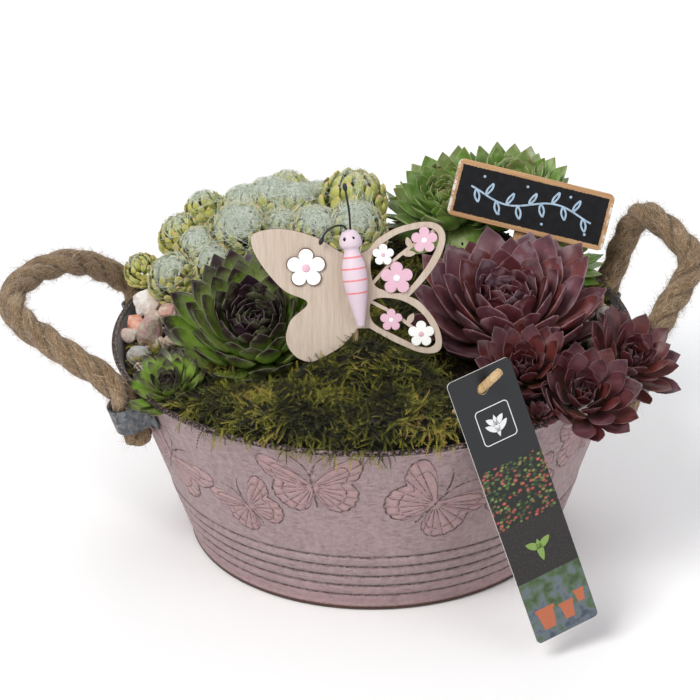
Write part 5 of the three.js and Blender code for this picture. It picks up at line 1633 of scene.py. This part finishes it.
PICK_LEAN = radians(20)
PICK_ORIGIN = Vector((-8, -68, 148.3))
PICK_BOARD = 3.0
GAP = 0.3
PICK_UP = Vector((0, sin(PICK_LEAN), cos(PICK_LEAN)))
PICK_FRAME = plane_frame(PICK_ORIGIN, Vector((1, 0, 0)), PICK_UP)
PICK_OUTLINE = (
    (0, 0), (6.5, 0), (14, -4.5), (21.5, -8.4), (32, -12.8), (39.5, -13.2), (43, -10.5), (43, -4),
    (39.5, 4.5), (32.5, 13), (27, 16), (36, 25.5), (42.5, 35), (45.7, 44), (44.8, 50), (40.5, 53.4),
    (33, 54), (21.5, 51.4), (11.5, 46), (4.7, 39.5), (-6.2, 38.7), (-19.2, 46.5), (-34.8, 51.3),
    (-47.8, 50.8), (-53.4, 46.6), (-49.3, 35), (-37.4, 20.4), (-25, 13.6), (-33.8, 4.7),
    (-36.3, -5.7), (-32, -13.6), (-24.9, -16.8), (-18.7, -15.2), (-7.8, -9), (-2.2, -3.2),
)
PICK_NOTCHES = ((27, 16), (-25, 13.6), (4.7, 39.5), (-6.2, 38.7), (0, 0), (6.5, 0))
UPPER_WINDOW = (
    (8.5, 24), (14, 19.5), (24.5, 18.6), (36, 31.5), (42.2, 44.5), (39.8, 50), (33.5, 50.8), (20, 47.2),
    (8.5, 37.5),
)
LOWER_WINDOW = (
    (8, 3.5), (20, -4), (32.5, -9.8), (38.5, -9.6), (39.8, -5), (34, 6.5), (22.5, 14.2), (8.5, 14.5),
)
SPRIGS = (((6, 20.5), (21, 36), (40, 49.5)), ((6, 14.5), (20, 6.5), (37, -7)))
SPRIG_WIDTH = 0.9
# Foot, heading in degrees and length of each leaf
SPRIG_LEAVES = (
    (17, 33, 150, 7), (24, 38, 0, 7.5), (28, 41, 110, 6.5), (26, 2, 60, 7), (19, 7, -110, 6),
)
# Middle, radius and whether the petals are white
FLOWERS = (
    ((-25.4, 31.4), 10.4, True), ((14, 37.6), 5.6, True), ((35, 44.8), 6.8, False),
    ((20.7, 25.6), 8.4, False), ((17.6, 4.2), 5.8, False), ((32.8, -3.2), 6.8, True),
)
FLOWER_THICKNESS = 1.2
BODY_FOOT = (2.2, 1.5)
BODY_LEAN = radians(6.3)
BODY_FLAT = 4.3
BODY_PROFILE = ((0, 0), (1.9, 0), (4.4, 12), (6.1, 22), (6, 31), (3.8, 39), (5.4, 41.6), (5.6, 45),
                (3.6, 48.8), (0, 50))
BODY_STRIPES = (17.5, 24.0, 30.0, 35.8)


def rounded_loop(points, keep, steps=6):
    """A closed outline as a smooth curve through its points, with sharp corners at the points to keep."""
    loop = []
    count = len(points)
    for i in range(count):
        a, b, c, d = (Vector(points[(i + k) % count]) for k in (-1, 0, 1, 2))
        before = Vector((0, 0)) if tuple(b) in keep else (c - a) / 2
        after = Vector((0, 0)) if tuple(c) in keep else (d - b) / 2
        for k in range(steps):
            t = k / steps
            loop.append(b * (2 * t ** 3 - 3 * t * t + 1) + before * (t ** 3 - 2 * t * t + t)
                        + c * (3 * t * t - 2 * t ** 3) + after * (t ** 3 - t * t))
    return loop


def store_plane_place(mesh, frame_matrix):
    """Keeps each vertex's place in a piece's own plane, in millimetres."""
    points = points_of(mesh)
    matrix = np.array(frame_matrix.inverted())
    store_vectors(mesh, "place", points @ matrix[:3, :3].T + matrix[:3, 3])


def number_edges(mesh, frame_matrix):
    """Gives the cut sides of a plate the second material."""
    facing = frame_matrix.to_3x3().col[2].normalized()
    for face in mesh.polygons:
        if abs(face.normal.dot(facing)) < 0.5:
            face.material_index = 1


def ply_material(name, light, dark, spacing):
    graph = new_material(name, 0.6, 0.3)
    turned = graph.mapped(graph.attribute("place", "Vector"), Rotation=(radians(90), 0, 0))
    grain = graph.group("wood grain", {"Vector": turned, "Light": light, "Dark": dark, "Spacing": spacing})
    return graph.surface(Base_Color=grain["Color"], Normal=graph.bump(grain["Height"], 0.25, 0.0002))


def plain_material(name, colour, roughness=0.5, specular=0.4, speck=0.08):
    """Paint or wire with a slight unevenness."""
    graph = new_material(name, roughness, specular)
    tone = graph.noise(graph.metres(), 500.0, 3.0, 0.6)
    darker = tuple(channel * 0.6 for channel in colour[:3]) + (1.0,)
    return graph.surface(Base_Color=graph.mix(graph.remap(tone, 0.4, 0.75) * (speck * 2), colour, darker),
                         Normal=graph.bump(tone, 0.15, 0.0003))


def ribbon(points, width):
    """The outline of a strip of a given half width along points."""
    left, right = [], []
    for i, point in enumerate(points):
        before = Vector(points[max(0, i - 1)])
        after = Vector(points[min(len(points) - 1, i + 1)])
        across = (after - before).normalized()
        left.append((point[0] - across.y * width, point[1] + across.x * width))
        right.append((point[0] + across.y * width, point[1] - across.x * width))
    return left + right[::-1]


def lens_leaf(u, v, degrees, length, width=1.7, steps=7):
    """The outline of a small pointed leaf."""
    turn = radians(degrees)
    outline = []
    for hand in (1, -1):
        shares = [k / steps for k in range(steps + 1)]
        for s in (shares if hand > 0 else shares[-2:0:-1]):
            along = (s - 0.1) * length
            across = hand * width * sin(pi * s) ** 0.8
            outline.append((u + along * cos(turn) - across * sin(turn),
                            v + along * sin(turn) + across * cos(turn)))
    return outline


def petal_outline(middle, radius, steps=90):
    """Five round petals, one straight up."""
    outline = []
    for k in range(steps):
        angle = FULL_TURN * k / steps
        reach = radius * (0.55 + 0.45 * abs(cos(2.5 * angle)) ** 0.55)
        outline.append((middle[0] + reach * sin(angle), middle[1] + reach * cos(angle)))
    return outline


def ball_mesh(matrix, radius, flat=(1, 1, 1), segments=20):
    bm = new_shape("uvsphere", u_segments=segments, v_segments=segments // 2, radius=radius)
    bmesh.ops.scale(bm, vec=flat, verts=bm.verts)
    bmesh.ops.transform(bm, matrix=matrix, verts=bm.verts)
    mesh = mesh_from(bm, "ball")
    mesh.shade_smooth()
    return mesh


def numbered(mesh, index):
    """The mesh with every face given one material number."""
    mesh.polygons.foreach_set("material_index", np.full(len(mesh.polygons), index, dtype=np.int32))
    return mesh


class GARDEN_OT_pick(bpy.types.Operator):
    """Cuts and paints the butterfly pick"""
    bl_idname = "garden.pick"
    bl_label = "Butterfly pick"

    def execute(self, context):
        settings = context.scene.garden.ornaments
        burnt = plain_material("burnt edge", srgb(96, 60, 38), 0.8, 0.2)
        ply = ply_material("plywood", srgb(200, 185, 170), srgb(182, 163, 146), 0.5)
        self.add_board(ply, burnt)
        self.add_flowers(settings, burnt)
        self.add_body(settings)
        self.add_antennae()
        self.add_stick()
        return {"FINISHED"}

    def add_board(self, ply, burnt):
        outline = rounded_loop(PICK_OUTLINE, PICK_NOTCHES)
        windows = [rounded_loop(UPPER_WINDOW, ()), rounded_loop(LOWER_WINDOW, ())]
        meshes = [plate_mesh([outline, *windows], -PICK_BOARD, 0, PICK_FRAME, bevel=0.15)]
        for stem in SPRIGS:
            smooth, _ = smooth_path([(u, v, 0) for u, v in stem], 1.5)
            strip = ribbon(smooth[:, :2].tolist(), SPRIG_WIDTH)
            meshes.append(plate_mesh([strip], -PICK_BOARD + 0.1, -0.1, PICK_FRAME, bevel=0.1))
        for leaf in SPRIG_LEAVES:
            meshes.append(plate_mesh([lens_leaf(*leaf)], -PICK_BOARD + 0.15, -0.15, PICK_FRAME, bevel=0.1))
        mesh = joined("pick_board_plywood", meshes)
        number_edges(mesh, PICK_FRAME)
        store_plane_place(mesh, PICK_FRAME)
        add_piece("pick_board_plywood", mesh, [ply, burnt], ["pick_board"], smooth=False)

    def add_flowers(self, settings, burnt):
        white = plain_material("white petal", (*settings.petal_white, 1), 0.45)
        pink = plain_material("pink petal", (*settings.petal_pink, 1), 0.45)
        for i, (middle, radius, is_white) in enumerate(FLOWERS):
            outlined = i == 0
            top = GAP + FLOWER_THICKNESS
            inner = radius - 0.5 if outlined else radius
            petals = plate_mesh([petal_outline(middle, inner)], GAP + 0.1, top, PICK_FRAME, 0.25)
            bead = PICK_FRAME @ Matrix.Translation((*middle, top - 0.1))
            meshes = [numbered(petals, 0), numbered(ball_mesh(bead, radius * 0.21, (1, 1, 0.35)), 1)]
            if outlined:
                backing = plate_mesh([petal_outline(middle, radius)], GAP, top - 0.35, PICK_FRAME)
                meshes.append(numbered(backing, 2))
            name = f"pick_flower_{i + 1}"
            colours = [white, pink, burnt] if is_white else [pink, white, burnt]
            add_piece(name + "_petals", joined(name + "_petals", meshes), colours,
                      [name], smooth=False)

    def body_frame(self):
        turn = Matrix.Rotation(BODY_LEAN, 4, "Z")
        return PICK_FRAME @ Matrix.Translation((*BODY_FOOT, BODY_FLAT)) @ turn

    def add_body(self, settings):
        """A turned body: a tapered rod with a ball head, painted pink with coral stripes and two eyes."""
        smooth, _ = smooth_path([(r, z, 0) for r, z in BODY_PROFILE[1:-1]], 0.7)
        bm = spun([(0, 0), *[(r, z) for r, z, _ in smooth], (0, 50)], 48, upright=False, merge=0.001)
        for vert in bm.verts:
            vert.co.z = max(vert.co.z, GAP - BODY_FLAT)
        heights = [vert.co.y for vert in bm.verts]
        bmesh.ops.transform(bm, matrix=self.body_frame(), verts=bm.verts)
        body = mesh_from(bm, "body", turn_out=True)
        body.shade_smooth()
        store(body, "along", heights)
        meshes = [numbered(body, 0)]
        for u in (-2.3, 2.1):
            eye = self.body_frame() @ Matrix.Translation((u - 0.4, 45.4, 4.75))
            meshes.append(numbered(ball_mesh(eye, 0.95, (0.85, 1.15, 0.6), 12), 1))
        mesh = joined("pick_body_turned", meshes)
        add_piece("pick_body_turned", mesh, [self.body_material(settings),
                                             plain_material("eye paint", srgb(20, 18, 18), 0.3)],
                  ["pick_body"])

    def body_material(self, settings):
        graph = new_material("pink body paint", 0.5, 0.4)
        ragged = graph.attribute("along") + (graph.noise(graph.metres(), 600.0) - 0.5) * 0.5
        stripe = graph.most(*(graph.remap(abs(ragged - level), 0.55, 0.35) for level in BODY_STRIPES))
        soft = graph.noise(graph.metres(), 120.0)
        base = graph.mix(soft * 0.3, (*settings.body_pink, 1), srgb(244, 214, 222))
        return graph.surface(Base_Color=graph.mix(stripe, base, srgb(226, 130, 132)))

    def add_antennae(self):
        wire = plain_material("black wire", srgb(26, 26, 28), 0.35)
        along = BODY_PROFILE[-1][1] + GAP
        u = BODY_FOOT[0] - along * sin(BODY_LEAN)
        v = BODY_FOOT[1] + along * cos(BODY_LEAN)
        w = BODY_FLAT
        routes = (
            ((u + 0.8, v - 0.6, w), (u + 0.4, v + 8, w + 0.4), (u - 0.6, v + 15, w),
             (u - 1.6, v + 21, w - 0.6)),
            ((u - 0.8, v - 0.4, w), (u - 3.5, v + 1.6, w), (u - 8, v + 1, w), (u - 12, v - 2, w),
             (u - 14, v - 6, w + 0.4)),
        )
        for i, route in enumerate(routes):
            path, _ = smooth_path(route, 0.8)
            tube = tube_mesh("wire", path, lambda angle, distance: 0.55, 10)
            tube.transform(PICK_FRAME)
            heading = Vector(path[-1] - path[-3]).to_track_quat("Z", "Y").to_matrix().to_4x4()
            bead = PICK_FRAME @ Matrix.Translation(path[-1]) @ heading
            name = f"pick_antenna_{i + 1}"
            mesh = joined(name + "_wire", [tube, ball_mesh(bead, 1.25, (1, 1, 1.8), 14)])
            add_piece(name + "_wire", mesh, [wire], [name])

    def add_stick(self):
        wood = ply_material("stick wood", srgb(222, 192, 150), srgb(184, 146, 106), 0.7)
        back = -PICK_BOARD - GAP - 1.6
        path, _ = smooth_path([(-1, v, back) for v in range(-52, 25, 4)], 4)
        mesh = tube_mesh("pick_stick_wood", path, lambda angle, distance: 1.6, 20)
        mesh.transform(PICK_FRAME)
        store_plane_place(mesh, PICK_FRAME)
        add_piece("pick_stick_wood", mesh, [wood], ["pick_stick"])


# The sign

SIGN_LEAN = radians(20)
SIGN_TILT = radians(-14.5)
SIGN_SIZE = (87.0, 31.5)
SIGN_CORNER = 3.2
SIGN_DEPTH = 4.0
SIGN_CENTRE = Vector((87, 45, 166.2))
SIGN_RISE = Vector((0, sin(SIGN_LEAN), cos(SIGN_LEAN)))
SIGN_ACROSS = Vector((1, 0, 0)) * cos(SIGN_TILT) + SIGN_RISE * sin(SIGN_TILT)
SIGN_UP = SIGN_RISE * cos(SIGN_TILT) - Vector((1, 0, 0)) * sin(SIGN_TILT)
SIGN_FRAME = plane_frame(SIGN_CENTRE, SIGN_ACROSS, SIGN_UP)
SIGN_BORDER = 2.6


def rounded_rectangle(width, height, corner, steps=8):
    outline = []
    for cu, cv, start in ((1, 1, 0), (-1, 1, 90), (-1, -1, 180), (1, -1, 270)):
        for k in range(steps + 1):
            angle = radians(start + 90 * k / steps)
            outline.append((cu * (width / 2 - corner) + corner * cos(angle),
                            cv * (height / 2 - corner) + corner * sin(angle)))
    return outline


def board_material():
    """Wood with a ragged black painted rectangle and rubbed pale ends."""
    graph = new_material("sign board", 0.65, 0.3)
    place = graph.attribute("place", "Vector")
    x, y, z = graph.split(place)
    grain = graph.group("wood grain", {
        "Vector": graph.mapped(place, Rotation=(0, radians(90), 0)), "Light": srgb(198, 158, 116),
        "Dark": srgb(164, 122, 84), "Spacing": 1.1})
    speck = graph.noise(place, 0.9, 4.0, 0.75)
    coarse = graph.noise(place, 0.22, 3.0, 0.6)
    across = (SIGN_SIZE[0] / 2 - SIGN_BORDER) - abs(x)
    upward = (SIGN_SIZE[1] / 2 - SIGN_BORDER) - abs(y)
    depth = graph.math("MINIMUM", across, upward) + (speck - 0.5) * 1.7
    paint = graph.remap(depth, 0.0, 0.25) * graph.remap(z, -0.3, -0.1)
    black = graph.mix(graph.remap(coarse, 0.3, 0.75), srgb(14, 14, 17), srgb(25, 26, 30))
    worn_end = graph.remap(abs(x), 41.6, 42.6) * graph.remap(speck + coarse, 0.92, 1.1)
    wood = graph.mix(worn_end, grain["Color"], srgb(226, 222, 214))
    return graph.surface(
        Base_Color=graph.mix(paint, wood, black), Roughness=graph.remap(paint, 0.0, 1.0, 0.65, 0.8),
        Normal=graph.bump(paint + speck, 0.25, 0.0003))


class GARDEN_OT_sign(bpy.types.Operator):
    """Makes the blackboard sign with a chalk vine, and its stake"""
    bl_idname = "garden.sign"
    bl_label = "Sign"

    def execute(self, context):
        settings = context.scene.garden.ornaments
        outline = rounded_rectangle(*SIGN_SIZE, SIGN_CORNER)
        board = plate_mesh([outline], -SIGN_DEPTH, 0, SIGN_FRAME, bevel=0.35)
        store_plane_place(board, SIGN_FRAME)
        board.name = "sign_board_wood"
        add_piece("sign_board_wood", board, [board_material()], ["sign_board"], smooth=False)
        back = -SIGN_DEPTH - GAP
        stake_outline = [(-5, 10), (-5, -48), (-1.5, -74), (1.5, -74), (5, -48), (5, 10)]
        stake = plate_mesh([stake_outline], back - 3, back, SIGN_FRAME, bevel=0.3)
        store_plane_place(stake, SIGN_FRAME)
        stake.name = "sign_stake_wood"
        wood = ply_material("stake wood", srgb(198, 158, 116), srgb(162, 120, 82), 1.0)
        add_piece("sign_stake_wood", stake, [wood], ["sign_stake"], smooth=False)
        self.add_vine(settings)
        return {"FINISHED"}

    def add_vine(self, settings):
        """A chalk drawing: a waving stem with leaves and dots."""
        stem = [(u, 3.2 * sin(u / 8.5), 0) for u in range(-34, 35, 2)]
        strokes = [smooth_path(stem, 1.0)[0]]
        for k, u in enumerate(range(-31, 34, 6)):
            hand = 1 if k % 2 else -1
            v = 3.2 * sin(u / 8.5)
            for bulge in (-1, 1):
                leaf = [(u + s * 2.6 + bulge * 1.5 * sin(pi * s) * 0.8,
                         v + hand * s * 7.0 + bulge * 0.35 * sin(pi * s), 0)
                        for s in (0, 0.25, 0.5, 0.75, 1)]
                strokes.append(smooth_path(leaf, 0.8)[0])
        meshes = []
        for stroke in strokes:
            tube = tube_mesh("stroke", stroke, lambda angle, distance: 0.55, 8)
            points = points_of(tube)
            points[:, 2] = 0.02 + 0.10 * np.clip(points[:, 2], 0, 1)
            move_points(tube, points)
            meshes.append(tube)
        for k, u in enumerate(range(-28, 34, 12)):
            v = -(9.0 if k % 2 else -9.0)
            meshes.append(ball_mesh(Matrix.Translation((u, v, 0.02)), 0.8, (1, 1, 0.12), 12))
        mesh = joined("sign_chalk_vine", meshes)
        mesh.transform(SIGN_FRAME)
        chalk = plain_material("chalk", (*settings.chalk, 1), 0.95, 0.1, 0.4)
        add_piece("sign_chalk_vine", mesh, [chalk])


# The hang tag

TAG_TOP = Vector((51.6, -121, 150.2))
TAG_FOOT = Vector((97, -147, 15.2))
TAG_WIDTH = 36.0
TAG_THICKNESS = 0.8
TAG_CORNER = 2.5
TAG_HOLE_DROP = 9.0
TAG_HOLE_RADIUS = 3.1
TAG_LENGTH = (TAG_FOOT - TAG_TOP).length
TAG_DOWN = (TAG_FOOT - TAG_TOP).normalized()
TAG_ACROSS = Vector((1, 0.42, 0))
TAG_ACROSS = (TAG_ACROSS - TAG_DOWN * TAG_ACROSS.dot(TAG_DOWN)).normalized()
TAG_FRAME = plane_frame(TAG_TOP, TAG_ACROSS, -TAG_DOWN)
PIN_HEADING = Vector((0.55, -0.35, 0.76)).normalized()
TAG_HOLE = TAG_TOP + TAG_DOWN * TAG_HOLE_DROP
# Where each band of the tag's picture ends, in millimetres below its top edge
TAG_BANDS = (50.0, 82.0, 112.0)
# A clay pot and its rim, as shares of the pot's size
POT = ((-0.5, 0), (-0.34, -1), (0.34, -1), (0.5, 0))
POT_RIM = ((-0.58, 0.2), (-0.58, 0), (0.58, 0), (0.58, 0.2))


def tag_material():
    """Charcoal card over bands of leaves, dark soil and clay, all made up."""
    graph = new_material("tag card", 0.45, 0.4)
    place = graph.attribute("place", "Vector")
    _, y, z = graph.split(place)
    down = y * -1.0
    speck = graph.noise(place, 2.4, 2.0, 0.7)
    charcoal = graph.mix(graph.remap(speck, 0.35, 0.7), srgb(22, 23, 26), srgb(33, 34, 38))
    cells = graph.mapped(place, Scale=(0.42, 0.62, 1), Rotation=(0, 0, 0.5))
    cell = graph.add("TexVoronoi", {"Vector": cells, "Scale": 1.0}).outputs
    leaves = graph.ramp(graph.first_channel(Signal(graph, cell["Color"])), (0.0, 26, 34, 20),
                        (0.3, 64, 92, 44), (0.5, 112, 134, 70), (0.68, 150, 54, 56), (0.85, 186, 92, 84),
                        (1.0, 52, 60, 36))
    gaps = graph.remap(Signal(graph, cell["Distance"]), 0.25, 0.6)
    leaves = graph.mix(gaps, leaves, srgb(22, 26, 18))
    soil = graph.ramp(graph.noise(place, 0.8, 4.0, 0.75), (0.35, 16, 15, 16), (0.6, 44, 38, 36),
                      (0.8, 86, 74, 66))
    haze = graph.ramp(graph.noise(place, 0.16, 3.0) + (down - TAG_BANDS[2]) * 0.006, (0.3, 34, 40, 34),
                      (0.5, 70, 92, 58), (0.65, 96, 104, 112), (0.85, 52, 62, 78))
    colour = charcoal
    for end, picture in zip(TAG_BANDS, (leaves, soil, haze)):
        colour = graph.mix(graph.remap(down, end - 0.05, end + 0.05), colour, picture)
    return graph.surface(Base_Color=graph.mix(graph.remap(z, -0.35, -0.45), colour, srgb(208, 206, 202)))


class GARDEN_OT_tag(bpy.types.Operator):
    """Makes the hang tag with its made-up picture, and its wooden pin"""
    bl_idname = "garden.tag"
    bl_label = "Hang tag"

    def execute(self, context):
        outline = [(u, v - TAG_LENGTH / 2) for u, v in rounded_rectangle(TAG_WIDTH, TAG_LENGTH, TAG_CORNER)]
        long = Vector((PIN_HEADING.dot(TAG_ACROSS), -PIN_HEADING.dot(TAG_DOWN))).normalized()
        stretch = 1 / abs(PIN_HEADING.dot(TAG_ACROSS.cross(-TAG_DOWN)))
        hole = []
        for k in range(40):
            angle = FULL_TURN * k / 40
            a, b = cos(angle) * TAG_HOLE_RADIUS * stretch, sin(angle) * TAG_HOLE_RADIUS
            hole.append((long.x * a - long.y * b, -TAG_HOLE_DROP + long.y * a + long.x * b))
        card = plate_mesh([outline, hole], -TAG_THICKNESS, 0, TAG_FRAME)
        store_plane_place(card, TAG_FRAME)
        number_edges(card, TAG_FRAME)
        card.name = "tag_card_print"
        edge = plain_material("card edge", srgb(214, 212, 208), 0.8, 0.2)
        add_piece("tag_card_print", card, [tag_material(), edge], ["tag_card"], smooth=False)
        self.add_art()
        self.add_pin()
        return {"FINISHED"}

    def add_art(self):
        """Flat printed shapes: a leaf sprig, a seedling and clay pots."""
        def flat(outline, level, index):
            return numbered(plate_mesh([outline], 0, level, TAG_FRAME), index)
        meshes = []
        frame_size = 19.0
        outer = [(u, v - 29) for u, v in rounded_rectangle(frame_size, frame_size, 2.2)]
        inner = [(u, v - 29) for u, v in rounded_rectangle(frame_size - 0.9, frame_size - 0.9, 1.8)]
        meshes.append(numbered(plate_mesh([outer, inner], 0, 0.03, TAG_FRAME), 0))
        for v, degrees, length in ((-35, 90, 12), (-33, 35, 8.5), (-33, 145, 8.5), (-29.5, 40, 7),
                                   (-29.5, 140, 7)):
            meshes.append(flat(lens_leaf(0, v, degrees, length, 1.5), 0.04, 0))
        for v, degrees, length in ((-104, 90, 12), (-98, 30, 9), (-98, 150, 9)):
            meshes.append(flat(lens_leaf(0, v, degrees, length, 1.9), 0.04, 1))
        for u, v, size in ((-8.5, -130, 9.5), (3.5, -131.5, 7.5), (12.0, -128, 5.5)):
            pot, rim = ([(u + a * size, v + b * size) for a, b in shape] for shape in (POT, POT_RIM))
            meshes += [flat(pot, 0.04, 2), flat(rim, 0.05, 2)]
        mesh = joined("tag_art", meshes)
        colours = [plain_material(name + " print", srgb(*levels)) for name, levels in (
            ("white", (222, 222, 222)), ("green", (122, 150, 74)), ("clay", (176, 98, 66)))]
        add_piece("tag_art", mesh, colours, smooth=False)

    def add_pin(self):
        start = TAG_HOLE - PIN_HEADING * 58
        end = TAG_HOLE + PIN_HEADING * 14
        path, length = smooth_path([start.lerp(end, k / 12) for k in range(13)], 1.5)
        mesh = tube_mesh("tag_pin_wood", path, lambda angle, distance: (
            1.61 + 0.69 * distance / length) * (1 if distance < length - 2 else 0.9), 22)
        mesh.transform(SCALE_DOWN)
        store_plane_place(mesh, TAG_FRAME)
        wood = ply_material("pin wood", srgb(214, 186, 140), srgb(172, 138, 94), 0.8)
        add_piece("tag_pin_wood", mesh, [wood], ["tag_pin"])


PIECE_OPERATORS = [
    GARDEN_OT_stage, GARDEN_OT_ropes, GARDEN_OT_tub, GARDEN_OT_ears, GARDEN_OT_soil, GARDEN_OT_rosettes,
    GARDEN_OT_cobwebs, GARDEN_OT_moss, GARDEN_OT_gravel, GARDEN_OT_pick, GARDEN_OT_sign, GARDEN_OT_tag,
]


class GARDEN_PT_panel(bpy.types.Panel):
    bl_label = "Dish garden"
    bl_idname = "GARDEN_PT_panel"
    bl_space_type = "VIEW_3D"
    bl_region_type = "UI"
    bl_category = "Dish garden"

    def draw(self, context):
        garden = context.scene.garden
        for group in (garden.stage, garden.tub, garden.rope, garden.plants, garden.ornaments):
            box = self.layout.box()
            for key in group.__annotations__:
                box.prop(group, key)
        for operator in PIECE_OPERATORS:
            self.layout.operator(operator.bl_idname)


CLASSES = [StageSettings, TubSettings, RopeSettings, PlantSettings, OrnamentSettings, GardenSettings,
           *PIECE_OPERATORS, GARDEN_PT_panel]


def register():
    for cls in CLASSES:
        bpy.utils.register_class(cls)
    bpy.types.Scene.garden = bpy.props.PointerProperty(type=GardenSettings)


def unregister():
    del bpy.types.Scene.garden
    for cls in reversed(CLASSES):
        bpy.utils.unregister_class(cls)


def main():
    register()
    for build_group in (wood_grain_group, leaf_tint_group, fibre_group, butterfly_group):
        build_group()
    for operator in PIECE_OPERATORS:
        category, name = operator.bl_idname.split(".")
        getattr(getattr(bpy.ops, category), name)()
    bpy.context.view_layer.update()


if __name__ == "__main__":
    main()
